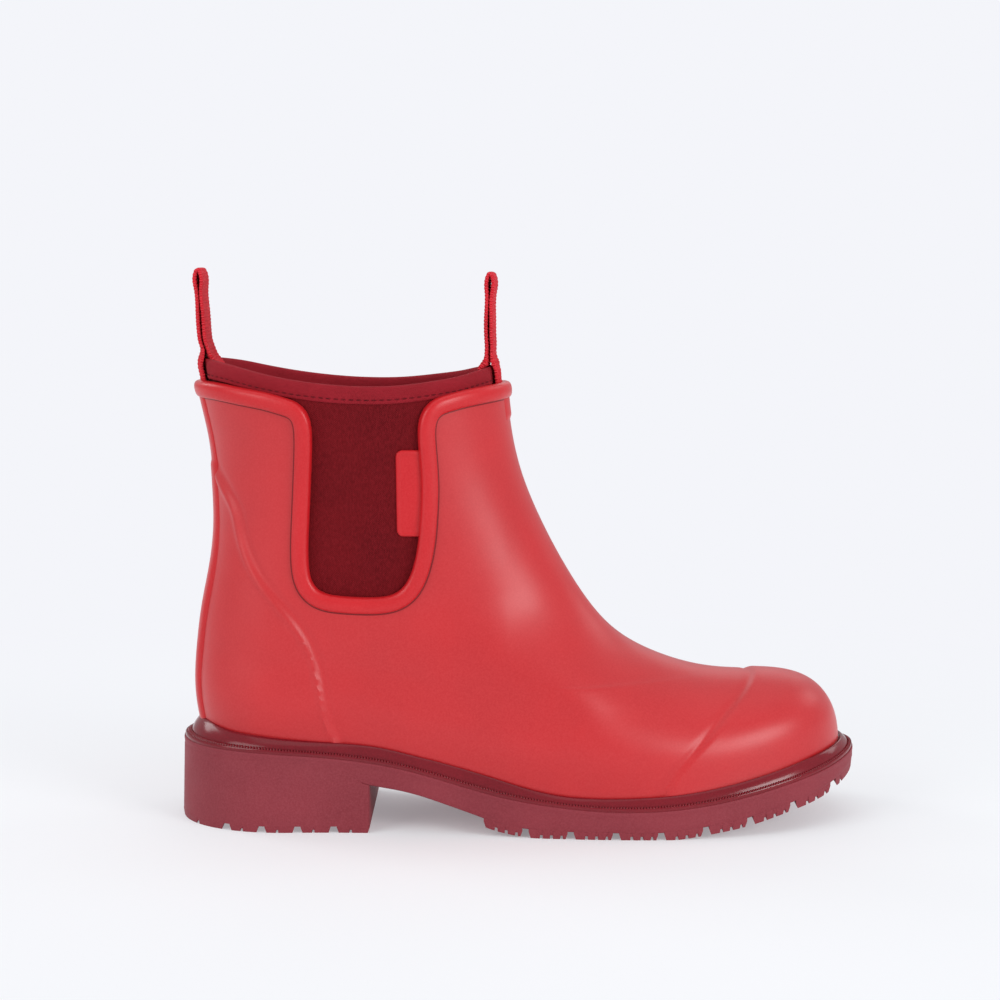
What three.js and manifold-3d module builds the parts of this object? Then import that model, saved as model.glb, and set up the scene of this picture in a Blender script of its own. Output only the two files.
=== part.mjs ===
import * as THREE from "three";
import { mergeVertices } from "three/addons/utils/BufferGeometryUtils.js";
import Module from "manifold-3d";

const wasm = await Module();
wasm.setup();

// Right ankle rain boot, millimetres. +X to the toe, +Y to the inner (medial) side, +Z up.

// ---- Overall sizes ----
const SOLE_LENGTH = 280; // outsole, heel to toe
const SOLE_WIDTH = 98; // outsole across the ball
const COLLAR_HEIGHT = 188; // top of the collar binding at the back

// ---- Wall thicknesses ----
const GAP = 0.3; // between bonded or stitched layers
const SHELL_T = 2.0; // rubber upper
const PANEL_T = 1.3; // gusset panels, toe puff, heel stiffener
const LINING_T = 2.5; // neoprene sock
const LINING_TOP_T = 1.6; // the sock, pressed thin inside the binding
const BINDING_T = 0.8;
const WEB_T = 1.2; // pull loop webbing
const STRIP_T = 0.9; // backstay and front patch

// ---- Trim ----
const RIM_W = 6.5; // raised rubber bead along the cut edge of the shell
const RIM_H = 1.7;
const BINDING_H = 6;
const WEB_W = 14;
const LOOP_RISE = 37; // pull loop above the collar
const LOOP_HIDDEN = 15; // length of each sewn leg
const LOOP_FOOT = 2; // gap under the free part, so it can swing
const LOOP_SPREAD = 2.1; // air between the two strands
const BACKSTAY_W = 22;
const FRONT_PATCH_W = 18;
const FRONT_PATCH_H = 7;
const PANEL_MARGIN = 8; // gusset panel hidden behind the shell
const TAB_L = 8.2;
const TAB_H = 35;
const TAB_T = 1.1;

// ---- Sole ----
const SIDE_LEDGE = 4.4; // outsole beyond the upper
const REAR_LEDGE = 9.6;
const TOE_LEDGE = 5.8;
const LUG_H = 3.3;
const LUG_PITCH = 17.9;
const LUG_GAP = 2.5;
const LUG_FRONT = 126.4;
const LUG_REAR = -17;
const HEEL_BREAST = -60;
const HEEL_FLARE = 1.2;
const HEEL_SLOTS = 4;
const HEEL_SLOT_PITCH = 14.5;
const HEEL_SLOT_DEPTH = 2.6;
const POCKET_DEPTH = 2.6; // forefoot filler in the outsole
const HEEL_WALL = 9; // rubber round the heel filler
const HEEL_FLOOR = 8;
const FILLER_WALL = 12;
const BOARD_T = 1.8;
const SHANK_T = 1.2;
const SHANK_W = 16;
const SHANK_REAR = -96;
const SHANK_FRONT = -6;
const FOAM_T = 5;
const CLOTH_T = 1;
const FOOTBED_GAP = 1.8; // loose footbed to the sock's wall
const FLOOR_GAP = 0.5; // and to its floor

// ---- Mesh density ----
const COLUMNS = 18; // on each side
const ROWS = 15;

// The curves below are drawn for a sole of 280 x 98 and a collar at 188, and stretched to size.
const KX = SOLE_LENGTH / 280;
const KY = SOLE_WIDTH / 98;
const KZ = COLLAR_HEIGHT / 188;

// Depths below the shell's outer face.
const PANEL_OUT = -(SHELL_T + GAP);
const PANEL_IN = PANEL_OUT - PANEL_T;
const LINING_OUT = PANEL_IN - GAP;
const LINING_IN = LINING_OUT - LINING_T;
const LEG_OUT = PANEL_OUT;
const BINDING_OUT = LEG_OUT - WEB_T - GAP;
const LINING_TOP_OUT = BINDING_OUT - BINDING_T - GAP;
const LINING_TOP_IN = LINING_TOP_OUT - LINING_TOP_T;
const BINDING_IN = LINING_TOP_IN - GAP - BINDING_T;
const INNER_LEG_OUT = BINDING_IN - GAP;

// ---- Curves ----
const clamp01 = (t) => Math.min(1, Math.max(0, t));
const smooth = (t) => clamp01(t) ** 2 * (3 - 2 * clamp01(t));
const mix = (a, b, t) => a + (b - a) * t;

// Natural cubic spline through [x, y] points, straight beyond its ends.
function curve(points) {
  const last = points.length - 1;
  const x = points.map((p) => p[0]);
  const y = points.map((p) => p[1]);
  const bend = new Array(last + 1).fill(0);
  const ratio = new Array(last + 1).fill(0);
  for (let i = 1; i < last; i++) {
    const before = x[i] - x[i - 1];
    const after = x[i + 1] - x[i];
    const turn = (y[i + 1] - y[i]) / after - (y[i] - y[i - 1]) / before;
    const pivot = 2 * (before + after) - before * ratio[i - 1];
    ratio[i] = after / pivot;
    bend[i] = (6 * turn - before * bend[i - 1]) / pivot;
  }
  for (let i = last - 1; i > 0; i--) bend[i] -= ratio[i] * bend[i + 1];
  return (t) => {
    let i = 0;
    while (i < last - 1 && t > x[i + 1]) i++;
    const h = x[i + 1] - x[i];
    const slope = (y[i + 1] - y[i]) / h;
    if (t < x[0]) return y[0] + (t - x[0]) * (slope - (h * bend[1]) / 6);
    if (t > x[last]) return y[last] + (t - x[last]) * (slope + (h * bend[last - 1]) / 6);
    const a = (x[i + 1] - t) / h;
    const b = 1 - a;
    const cubic = (a ** 3 - a) * bend[i] + (b ** 3 - b) * bend[i + 1];
    return a * y[i] + b * y[i + 1] + (cubic * h * h) / 6;
  };
}

// x of the heel line at a height.
const heelLine = curve([
  [30, -128.2], [40, -130.8], [55, -132.6], [70, -131.8], [88, -129.4], [104, -126.2],
  [121, -124.3], [138, -124.6], [155, -126], [168, -128.6], [180, -131.2], [195, -134],
]);

// Toe, vamp and instep ridge as [x, z], up to well above the collar.
const RIDGE = [
  [133.6, 20], [133.4, 31], [131.4, 42.3], [125.2, 52.4], [115, 58.2], [100, 60.3], [84, 61.1],
  [67, 64.3], [47, 72.3], [33, 83.4], [19.5, 102.7], [9, 122.5], [1, 142.3], [-3.2, 161],
  [-5.4, 180], [-8, 205], [-16, 280], [-45, 450], [-140, 1000],
];

// Visible foot of the upper, where it meets the welt.
const featherZ = curve([
  [-132, 38.3], [-121, 36.8], [-108, 35], [-90, 34.1], [-72, 33.6], [-50, 29.3], [-30, 24.2],
  [-12, 19.8], [5, 17.2], [22, 15.9], [40, 15.6], [60, 16.9], [80, 19.8], [97, 23.4],
  [112, 27.1], [123, 29.7], [134, 31.6],
]);

const soleTopZ = curve([
  [-140, 33.2], [-131, 32.8], [-107, 32.2], [-87, 31], [-47.5, 26], [-8, 16.2], [16, 12.6],
  [36, 11.2], [52, 11.3], [72, 13], [91.5, 16.3], [111, 20.6], [123, 23.4], [134, 26.4], [140, 28],
]);

const soleUnderZ = curve([
  [-140, 28.2], [-100, 26.3], [-75, 22.6], [-60, 19.2], [-48, 17.2], [-38, 14.8], [-29, 12],
  [-19, 8.8], [-9, 5.6], [0, 3.9], [10, 3.1], [30, 2.8], [60, 3.1], [76, 5.1], [91, 7.6],
  [100, 9.8], [110, 12.4], [120, 15], [129, 18.3], [136, 21.5], [140, 23.4],
]);

const collarZ = curve([
  [-132, 188], [-118, 187.2], [-110, 185.8], [-98, 183.4], [-86, 181.4], [-73, 179.6],
  [-61, 178.8], [-47, 179.1], [-31, 180.9], [-20, 182.8], [-13, 184.6], [-6, 186.2],
]);

// Half widths on the outer (-1) and inner (+1) side of the foot, and of the ankle by height.
const FOOT_HALF = {
  [-1]: curve([
    [-135, 30], [-100, 30.5], [-70, 31.5], [-40, 34.5], [-10, 39.5], [20, 43.5], [45, 45],
    [80, 44.5], [110, 44], [135, 44],
  ]),
  [1]: curve([
    [-135, 30], [-100, 30.5], [-70, 29.5], [-40, 27.7], [-15, 29.2], [10, 34], [40, 40.5],
    [65, 43.5], [90, 43], [110, 42], [135, 42],
  ]),
};
const ankleHalf = curve([
  [20, 31], [45, 31.6], [70, 32], [90, 31.6], [110, 32.5], [130, 34.5], [150, 37], [170, 39.3],
  [190, 41],
]);
const centreY = curve([[-140, 0], [0, 0], [40, 0], [75, 0.8], [105, 3.2], [135, 6]]);

// How far the heel and the toe round off, front to back and downwards.
const heelRound = curve([[30, 35], [60, 38], [100, 46], [140, 56], [180, 62], [200, 63]]);
const TOE_ROUND = 57;
const RIDGE_ROUND = 40;
const ANKLE_FROM = 42;
const ANKLE_BLEND = 55;
const BULGE = 0.045;
const BULGE_H = 36;

// The ridge as a fine line, walked by the square root of its spacing so it doesn't overshoot.
const RIDGE_STEPS = 900;
function ridgeLine() {
  const walk = [0];
  for (let i = 1; i < RIDGE.length; i++) {
    const step = Math.hypot(RIDGE[i][0] - RIDGE[i - 1][0], RIDGE[i][1] - RIDGE[i - 1][1]);
    walk.push(walk[i - 1] + Math.sqrt(step));
  }
  const x = curve(RIDGE.map((p, i) => [walk[i], p[0]]));
  const z = curve(RIDGE.map((p, i) => [walk[i], p[1]]));
  const total = walk[walk.length - 1];
  return Array.from({ length: RIDGE_STEPS + 1 }, (_, i) => {
    const t = (total * i) / RIDGE_STEPS;
    return [x(t), z(t)];
  });
}
const ridge = ridgeLine();

// Linear look-up in the ridge line, by key to value.
function ridgeAt(key, value, wanted, sign) {
  let low = 0;
  let high = RIDGE_STEPS;
  if (sign * wanted <= sign * ridge[0][key]) return ridge[0][value];
  while (high - low > 1) {
    const middle = (low + high) >> 1;
    if (sign * ridge[middle][key] <= sign * wanted) low = middle;
    else high = middle;
  }
  const t = (wanted - ridge[low][key]) / (ridge[high][key] - ridge[low][key]);
  return mix(ridge[low][value], ridge[high][value], t);
}
const ridgeX = (z) => ridgeAt(1, 0, z, 1);
const ridgeZ = (x) => ridgeAt(0, 1, x, -1);

const roundOff = (t) => 1 - (1 - Math.min(1, Math.max(-1, t))) ** 2;

// Square of the half width, at drawing size.
function widthSquared(x, z, side) {
  const ankle = smooth((z - ANKLE_FROM) / ANKLE_BLEND);
  const belly = clamp01((z - featherZ(x)) / BULGE_H);
  const half = mix(FOOT_HALF[side](x), ankleHalf(z), ankle) * (1 + BULGE * Math.sin(Math.PI * belly) ** 2);
  const ahead = ridgeX(z) - x || 1e-9;
  const above = ridgeZ(x) - z || 1e-9;
  const inside = ahead > 0 && above > 0 ? 1 : -1;
  const toe = inside / Math.hypot(TOE_ROUND / ahead, RIDGE_ROUND / above);
  const heel = (x - heelLine(z)) / heelRound(z);
  return half * half * roundOff(toe) * roundOff(heel);
}

// The same curves at the boot's own size.
const backX = (z) => KX * heelLine(z / KZ);
const frontX = (z) => KX * ridgeX(z / KZ);
const featherAt = (x) => KZ * featherZ(x / KX);
const soleTop = (x) => KZ * soleTopZ(x / KX);
const soleUnder = (x) => KZ * soleUnderZ(x / KX);
const collar = (x) => KZ * collarZ(x / KX);
const lugFoot = (x) => Math.max(0, soleUnder(x) - LUG_H);
const middleY = (x) => KY * centreY(x / KX);
const halfSquared = (x, z, side) => KY * KY * widthSquared(x / KX, z / KZ, side);

// Point on the outer face of the upper at x and z, moved out along the face's normal.
const PROBE = 0.02;
function skin(x, z, side, out = 0, flat = false) {
  const half = Math.sqrt(Math.max(0, halfSquared(x, z, side)));
  const slopeX = (halfSquared(x + PROBE, z, side) - halfSquared(x - PROBE, z, side)) / (2 * PROBE);
  const slopeZ = (halfSquared(x, z + PROBE, side) - halfSquared(x, z - PROBE, side)) / (2 * PROBE);
  const drift = (middleY(x + PROBE) - middleY(x - PROBE)) / (2 * PROBE);
  const n = [-slopeX - 2 * side * half * drift, 2 * side * half, flat ? 0 : -slopeZ];
  const k = out / Math.hypot(...n);
  return [x + n[0] * k, middleY(x) + side * half + n[1] * k, z + n[2] * k];
}

// A level line round the boot: its two ends on the centre plane and its height at each x.
function level(zAt) {
  let back = backX(zAt(backX(100)));
  let front = frontX(zAt(0));
  for (let i = 0; i < 8; i++) {
    back = backX(zAt(back));
    front = frontX(zAt(front));
  }
  return { back, front, zAt };
}

// Points round a level line: back, outer side, front, inner side.
function ring(line, out, flat = false) {
  return Array.from({ length: 2 * COLUMNS }, (_, i) => {
    const side = i <= COLUMNS ? -1 : 1;
    const angle = (Math.PI * (side < 0 ? i : 2 * COLUMNS - i)) / COLUMNS;
    const x = mix(line.back, line.front, (1 - Math.cos(angle)) / 2);
    const reach = typeof out === "function" ? out(angle) : out;
    return skin(x, line.zAt(x), side, reach, flat);
  });
}

// The levels of the upper, from the outsole to just under the binding.
const underBinding = (x) => collar(x) - BINDING_H - GAP;
const onSole = (x) => soleTop(x) + GAP;
const foot = level(onSole);
const throat = level(underBinding);

function ridgeWalk() {
  const line = ridge.map((p) => [p[0] * KX, p[1] * KZ]);
  const inside = line.filter((p) => p[1] > onSole(foot.front) && p[1] < underBinding(throat.front));
  const points = [[foot.front, onSole(foot.front)], ...inside];
  points.push([throat.front, underBinding(throat.front)]);
  const lengths = [0];
  for (let i = 1; i < points.length; i++) {
    const step = Math.hypot(points[i][0] - points[i - 1][0], points[i][1] - points[i - 1][1]);
    lengths.push(lengths[i - 1] + step);
  }
  return (t) => {
    const wanted = t * lengths[lengths.length - 1];
    let i = 1;
    while (i < points.length - 1 && lengths[i] < wanted) i++;
    const u = (wanted - lengths[i - 1]) / (lengths[i] - lengths[i - 1]);
    return [mix(points[i - 1][0], points[i][0], u), mix(points[i - 1][1], points[i][1], u)];
  };
}
const walkRidge = ridgeWalk();

// One of the upper's levels, t from 0 at the sole to 1 under the binding.
function upperLevel(t) {
  if (t === 0) return foot;
  if (t === 1) return throat;
  const [front, frontZ] = walkRidge(t ** 1.3);
  const backZ = mix(onSole(foot.back), underBinding(throat.back), 0.3 * t + 0.7 * t * t);
  const back = backX(backZ);
  const sag = (line, u) => {
    const x = mix(line.back, line.front, u);
    return line.zAt(x) - mix(line.zAt(line.back), line.zAt(line.front), u);
  };
  const zAt = (x) => {
    const u = (x - back) / (front - back);
    return mix(backZ, frontZ, u) + (1 - t) ** 2 * sag(foot, u) + t ** 3 * sag(throat, u);
  };
  return { back, front, zAt };
}
const upperLevels = Array.from({ length: ROWS + 1 }, (_, i) => upperLevel(i / ROWS));

// ---- Solids ----
const quad = (a, b, c, d) => [[a, b, c], [a, c, d]];

// One closed body from triangles of points, turned to face out.
function solid(triangles) {
  const seen = new Map();
  const positions = [];
  const vertex = (p) => {
    const key = p.map((v) => Math.round(v * 1e4)).join();
    if (!seen.has(key)) {
      seen.set(key, seen.size);
      positions.push(...p);
    }
    return seen.get(key);
  };
  const faces = [];
  let volume = 0;
  for (const [a, b, c] of triangles) {
    const [i, j, k] = [a, b, c].map(vertex);
    if (i === j || j === k || k === i) continue;
    faces.push([i, j, k]);
    const cross = [b[1] * c[2] - b[2] * c[1], b[2] * c[0] - b[0] * c[2], b[0] * c[1] - b[1] * c[0]];
    volume += a[0] * cross[0] + a[1] * cross[1] + a[2] * cross[2];
  }
  if (volume < 0) faces.forEach((f) => f.reverse());
  const mesh = { numProp: 3, vertProperties: new Float32Array(positions) };
  mesh.triVerts = new Uint32Array(faces.flat());
  return new wasm.Manifold(new wasm.Mesh(mesh));
}

// A sheet with thickness between two grids of points; loopJ joins its last column to its first.
function sheet(outer, inner, loopJ = false) {
  const lastI = outer.length - 1;
  const lastJ = outer[0].length - 1;
  const steps = loopJ ? lastJ + 1 : lastJ;
  const next = (j) => (j + 1) % (lastJ + 1);
  const faces = [];
  for (let i = 0; i < lastI; i++)
    for (let j = 0; j < steps; j++) {
      const k = next(j);
      faces.push(...quad(outer[i][j], outer[i + 1][j], outer[i + 1][k], outer[i][k]));
      faces.push(...quad(inner[i][j], inner[i][k], inner[i + 1][k], inner[i + 1][j]));
    }
  for (let j = 0; j < steps; j++) {
    const k = next(j);
    faces.push(...quad(outer[0][j], outer[0][k], inner[0][k], inner[0][j]));
    faces.push(...quad(outer[lastI][k], outer[lastI][j], inner[lastI][j], inner[lastI][k]));
  }
  if (loopJ) return solid(faces);
  for (let i = 0; i < lastI; i++) {
    faces.push(...quad(outer[i + 1][0], outer[i][0], inner[i][0], inner[i + 1][0]));
    faces.push(...quad(outer[i][lastJ], outer[i + 1][lastJ], inner[i + 1][lastJ], inner[i][lastJ]));
  }
  return solid(faces);
}

// A closed hoop of closed sections.
function hoop(sections) {
  const faces = [];
  const n = sections.length;
  const m = sections[0].length;
  for (let i = 0; i < n; i++)
    for (let j = 0; j < m; j++) {
      const a = sections[i];
      const b = sections[(i + 1) % n];
      const k = (j + 1) % m;
      faces.push(...quad(a[j], b[j], b[k], a[k]));
    }
  return solid(faces);
}

// A filled body between stacked rings, closed straight across at its two ends.
function stack(rings) {
  const n = rings[0].length;
  const faces = [];
  for (let i = 0; i + 1 < rings.length; i++)
    for (let j = 0; j < n; j++) {
      const k = (j + 1) % n;
      faces.push(...quad(rings[i][j], rings[i][k], rings[i + 1][k], rings[i + 1][j]));
    }
  const across = (r, turned) => {
    for (let j = 0; j < n / 2; j++) {
      const strip = [r[j], r[j + 1], r[n - j - 1], r[(n - j) % n]];
      faces.push(...quad(...(turned ? strip : strip.reverse())));
    }
  };
  across(rings[0], false);
  across(rings[rings.length - 1], true);
  return solid(faces);
}

// The upper's plan grown by out, at heights given along x.
const planRing = (out, zAt) => ring(foot, out, true).map(([x, y]) => [x, y, zAt(x)]);

// A filled slab on that plan, grown further by flare at its foot.
function slab(out, zLow, zHigh, flare = 0) {
  const grown = typeof out === "function" ? out : () => out;
  return stack([planRing((a) => grown(a) + flare, zLow), planRing(grown, zHigh)]);
}

function fromGeometry(geometry) {
  geometry.deleteAttribute("normal");
  geometry.deleteAttribute("uv");
  const merged = mergeVertices(geometry, 1e-4);
  const mesh = { numProp: 3, vertProperties: merged.attributes.position.array };
  mesh.triVerts = new Uint32Array(merged.index.array);
  return new wasm.Manifold(new wasm.Mesh(mesh));
}

function block(x0, x1, z0 = -50, z1 = 300, y0 = -100, y1 = 100) {
  const geometry = new THREE.BoxGeometry(x1 - x0, y1 - y0, z1 - z0);
  return fromGeometry(geometry.translate((x0 + x1) / 2, (y0 + y1) / 2, (z0 + z1) / 2));
}

// A side-view outline of [x, z] points as a prism across the boot.
function prism(outline, y0 = -100, y1 = 100) {
  const shape = new THREE.Shape(outline.map(([x, z]) => new THREE.Vector2(x, z)));
  const geometry = new THREE.ExtrudeGeometry(shape, { depth: y1 - y0, bevelEnabled: false });
  return fromGeometry(geometry.rotateX(Math.PI / 2).translate(0, y1, 0));
}

const scaled = (outline) => outline.map(([x, z]) => [x * KX, z * KZ]);

// The upper's wall between two depths.
function wall(out, inner) {
  const outside = upperLevels.map((line) => ring(line, out));
  const inside = upperLevels.map((line) => ring(line, inner));
  return sheet(outside, inside, true);
}

// ---- Cut edge of the shell ----
const RIM_BACK_Z = 176.6;
const RIM_FRONT_Z = 176;
const rimZ = curve([
  [-131.5, RIM_BACK_Z], [-121.7, 176.2], [-110.7, 174.6], [-99.3, 172.7], [-93, 171],
  [-29, 172], [-24.5, 173.1], [-15.8, 174.7], [-5.2, RIM_FRONT_Z],
]);
const RIM_U = [
  [-92.6, 170.9], [-89.6, 169.8], [-87.2, 167.8], [-85.9, 164.8], [-85.4, 160.5], [-85.6, 151],
  [-86.2, 140], [-86.9, 128], [-87.5, 117], [-87.4, 107], [-86.2, 100.6], [-83.2, 95.8],
  [-78.6, 93], [-71.5, 91.7], [-63, 91.2], [-55, 91.4], [-48.8, 92.9], [-44.2, 96.2],
  [-41, 101.2], [-38.8, 107.5], [-37.1, 116], [-36, 128], [-35.6, 140], [-36.2, 151],
  [-36.7, 159], [-36.4, 164.2], [-35, 168], [-32.4, 170.6], [-29, 171.9],
];
const RIM_BACK = heelLine(RIM_BACK_Z);
const RIM_FRONT = ridgeX(RIM_FRONT_Z);
const RIM_STEPS = 2 * COLUMNS;

// Side-view path of the edge, closely spaced where it turns round the heel and the instep.
function rimPath() {
  const wide = RIM_FRONT - RIM_BACK;
  const top = Array.from({ length: RIM_STEPS + 1 }, (_, i) => {
    const x = RIM_BACK + (wide * (1 - Math.cos((Math.PI * i) / RIM_STEPS))) / 2;
    return [x, rimZ(x)];
  });
  const behind = top.filter(([x]) => x < RIM_U[0][0] - 2);
  const ahead = top.filter(([x]) => x > RIM_U[RIM_U.length - 1][0] + 2);
  return [...behind, ...RIM_U, ...ahead];
}
const rimSide = rimPath();
const edgeOutline = scaled(rimSide);

function upperShell() {
  const over = [[40 * KX, edgeOutline[edgeOutline.length - 1][1]], [40 * KX, 400], [-200 * KX, 400]];
  const start = [-200 * KX, edgeOutline[0][1]];
  return wall(0, -SHELL_T).subtract(prism([start, ...edgeOutline, ...over]));
}

// Bead that wraps the shell's cut edge; its lip fills the step down to the gusset panel.
function rimBand() {
  const sidePoints = (side) => edgeOutline.map(([x, z]) => ({ x, z, side }));
  const inner = sidePoints(1).slice(1, -1).reverse();
  const stations = [...sidePoints(-1), ...inner].map((s) => {
    const at = skin(s.x, s.z, s.side);
    const lifted = skin(s.x, s.z, s.side, 1);
    return { at: new THREE.Vector3(...at), lifted: new THREE.Vector3(...lifted) };
  });
  const half = RIM_W / 2;
  const lip = -SHELL_T + 0.1;
  const profile = [
    [-half, GAP], [-half, GAP + 0.6 * RIM_H], [-0.6 * half, GAP + RIM_H], [0.5 * half, GAP + RIM_H],
    [half, GAP + 0.5 * RIM_H], [half, lip], [GAP + 0.1, lip], [GAP + 0.1, GAP],
  ];
  const n = stations.length;
  return hoop(stations.map(({ at, lifted }, i) => {
    const normal = lifted.clone().sub(at);
    const along = stations[(i + 1) % n].at.clone().sub(stations[(i + n - 1) % n].at).normalize();
    const across = normal.clone().cross(along).normalize();
    return profile.map(([w, h]) => at.clone().addScaledVector(across, w).addScaledVector(normal, h).toArray());
  }));
}

// ---- Layers inside the shell ----
const GUSSET_OUTLINE_R = 18;
function gussetPanel(side) {
  const xs = RIM_U.map((p) => p[0] * KX);
  const left = Math.min(...xs.slice(4, -4)) - PANEL_MARGIN;
  const right = Math.max(...xs.slice(4, -4)) + PANEL_MARGIN;
  const low = Math.min(...RIM_U.map((p) => p[1])) * KZ - PANEL_MARGIN;
  const r = GUSSET_OUTLINE_R;
  const corner = (x, from) => [0, 30, 60, 90].map((a) => {
    const angle = ((from + a) * Math.PI) / 180;
    return [x + r * Math.cos(angle), low + r + r * Math.sin(angle)];
  });
  const outline = [...corner(left + r, 180), ...corner(right - r, 270), [right, 400], [left, 400]];
  const y = side < 0 ? [-100, middleY(0) - 8] : [middleY(0) + 8, 100];
  return wall(PANEL_OUT, PANEL_IN).intersect(prism(outline, ...y));
}

const TOE_CAP_LINE = [
  [57, 5], [59.5, 18.6], [62, 23.3], [68, 30.4], [75.5, 38.3], [83.4, 46.1], [91.8, 53.4],
  [98.5, 60.5], [104, 75],
];
const COUNTER_LINE = [
  [-125, 146], [-121.5, 140.1], [-118, 134.5], [-114.7, 128.5], [-112.7, 120.1], [-108.4, 107.1],
  [-103.7, 99.3], [-98.4, 92.9], [-91.7, 84.9], [-86.6, 77.4], [-83, 69.2], [-80.7, 60.3],
  [-78.6, 49.1], [-76.5, 41.5], [-73.6, 35.3], [-72, 15],
];

function toePuff() {
  const outline = scaled([...TOE_CAP_LINE, [180, 75], [180, 5]]);
  return wall(PANEL_OUT, PANEL_IN).intersect(prism(outline));
}

function heelStiffener() {
  const outline = scaled([[-180, 15], [-180, 146], ...COUNTER_LINE]);
  return wall(PANEL_OUT, PANEL_IN).intersect(prism(outline));
}

// Height above the outsole where each inner layer starts.
const BOARD_LOW = GAP;
const SOCK_LOW = BOARD_LOW + BOARD_T + GAP;
const FOAM_LOW = SOCK_LOW + LINING_T + FLOOR_GAP;
const CLOTH_LOW = FOAM_LOW + FOAM_T + GAP;
const above = (h) => (x) => soleTop(x) + h;
const liningTopAt = (x) => collar(x) - BINDING_T - GAP;

// The sock's wall leaves the shell near the top, where the binding and the webbing squeeze in.
function sockRings(bodyOut, topOut, floor, topLine, first) {
  const shift = (t) => smooth((t - 0.8) / 0.2);
  const rings = upperLevels.slice(first).map((line, i) => {
    const t = (i + first) / ROWS;
    return ring(line, mix(bodyOut, topOut, shift(t)));
  });
  return [planRing(bodyOut, above(floor)), ...rings, ring(level(topLine), topOut)];
}

function liningSock() {
  const floor = SOCK_LOW + LINING_T;
  const beyond = (x) => liningTopAt(x) + 5;
  const outside = stack(sockRings(LINING_OUT, LINING_TOP_OUT, SOCK_LOW, liningTopAt, 1));
  return outside.subtract(stack(sockRings(LINING_IN, LINING_TOP_IN, floor, beyond, 2)));
}

function collarBinding() {
  const low = level((x) => collar(x) - BINDING_H);
  const cap = level((x) => collar(x) - BINDING_T);
  const top = level(collar);
  const rings = [
    ring(low, BINDING_OUT), ring(top, BINDING_OUT), ring(top, BINDING_IN), ring(low, BINDING_IN),
    ring(low, BINDING_IN + BINDING_T), ring(cap, BINDING_IN + BINDING_T),
    ring(cap, BINDING_OUT - BINDING_T), ring(low, BINDING_OUT - BINDING_T),
  ];
  return hoop(rings[0].map((_, j) => rings.map((r) => r[j])));
}

// ---- Strips and loops on the centre line ----

// Point at height z and distance y from the centre plane, at the heel (-1) or the instep (+1).
function endPoint(end, z, y, out) {
  const side = y < 0 ? -1 : 1;
  const edge = end < 0 ? backX(z) : frontX(z);
  const width = (inwards) => {
    const p = skin(edge - end * inwards, z, side, out);
    return Math.abs(p[1] - middleY(p[0]));
  };
  let near = 0;
  let far = 40;
  for (let i = 0; i < 30; i++) {
    const middle = (near + far) / 2;
    if (width(middle) < Math.abs(y)) near = middle;
    else far = middle;
  }
  return skin(edge - end * near, z, side, out);
}

const spread = (width, steps) => Array.from({ length: steps + 1 }, (_, i) => width * (i / steps - 0.5));
const steps = (from, to, n) => Array.from({ length: n + 1 }, (_, i) => mix(from, to, i / n));

function centreStrip(end, width, low, high, rows) {
  const grid = (out) => steps(low, high, rows).map((z) => spread(width, 6).map((y) => endPoint(end, z, y, out)));
  return sheet(grid(GAP + STRIP_T), grid(GAP));
}

const rimFoot = (z) => z * KZ - RIM_W / 2 - GAP - 0.3;
const backstayStrip = () => {
  const low = featherAt(backX(featherAt(backX(40 * KZ)))) + 1.2;
  return centreStrip(-1, BACKSTAY_W, low, rimFoot(RIM_BACK_Z), 12);
};
const frontPatch = () => {
  const high = rimFoot(RIM_FRONT_Z);
  return centreStrip(1, FRONT_PATCH_W, high - FRONT_PATCH_H, high, 2);
};

// Where a pull loop's webbing meets the collar, at the heel (-1) or the instep (+1).
function loopSeat(end) {
  const top = collar(end < 0 ? throat.back : throat.front);
  const crown = [BINDING_OUT, BINDING_IN].map((out) => endPoint(end, top, WEB_W / 2, out)[2]);
  const middleOf = (out) => endPoint(end, top, 0, out - WEB_T / 2)[0];
  const [outerX, innerX] = [middleOf(LEG_OUT), middleOf(INNER_LEG_OUT)];
  return { top, foot: Math.max(top, ...crown) + LOOP_FOOT, outerX, innerX };
}

// One sewn end of the webbing, flat against the collar.
function loopLeg(end, out) {
  const { top } = loopSeat(end);
  const rows = steps(top - LOOP_HIDDEN, top - GAP, 3);
  const grid = (depth) => rows.map((z) => spread(WEB_W, 6).map((y) => endPoint(end, z, y, depth)));
  return sheet(grid(out), grid(out - WEB_T));
}

// The free part of the webbing, folded over itself above the collar.
function pullLoop(end) {
  const { top, foot: base, outerX, innerX } = loopSeat(end);
  const neck = (outerX + innerX) / 2;
  const seat = (end * (outerX - innerX)) / 2 - 0.4;
  const half = (LOOP_SPREAD + WEB_T) / 2;
  const side = (sign) => [
    [sign * seat, 0], [sign * half, 0.2], [sign * half + 0.5, 0.48],
    [sign * (half + 0.4) + 1, 0.78], [sign * half * 0.9 + 1.3, 0.95],
  ];
  const outline = [...side(1), [1.3, 1], ...side(-1).reverse()];
  const height = top + LOOP_RISE - base;
  const points = outline.map(([x, rise]) => new THREE.Vector3(neck + end * x, 0, base + rise * height));
  const line = new THREE.CatmullRomCurve3(points, false, "centripetal");
  const face = (away) => steps(0, 1, 22).map((t) => {
    const p = line.getPoint(t);
    const along = line.getTangent(t);
    const shift = (away * end * WEB_T) / 2;
    return spread(WEB_W, 1).map((y) => [p.x + along.z * shift, middleY(p.x) + y, p.z - along.x * shift]);
  });
  return sheet(face(1), face(-1));
}

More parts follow.
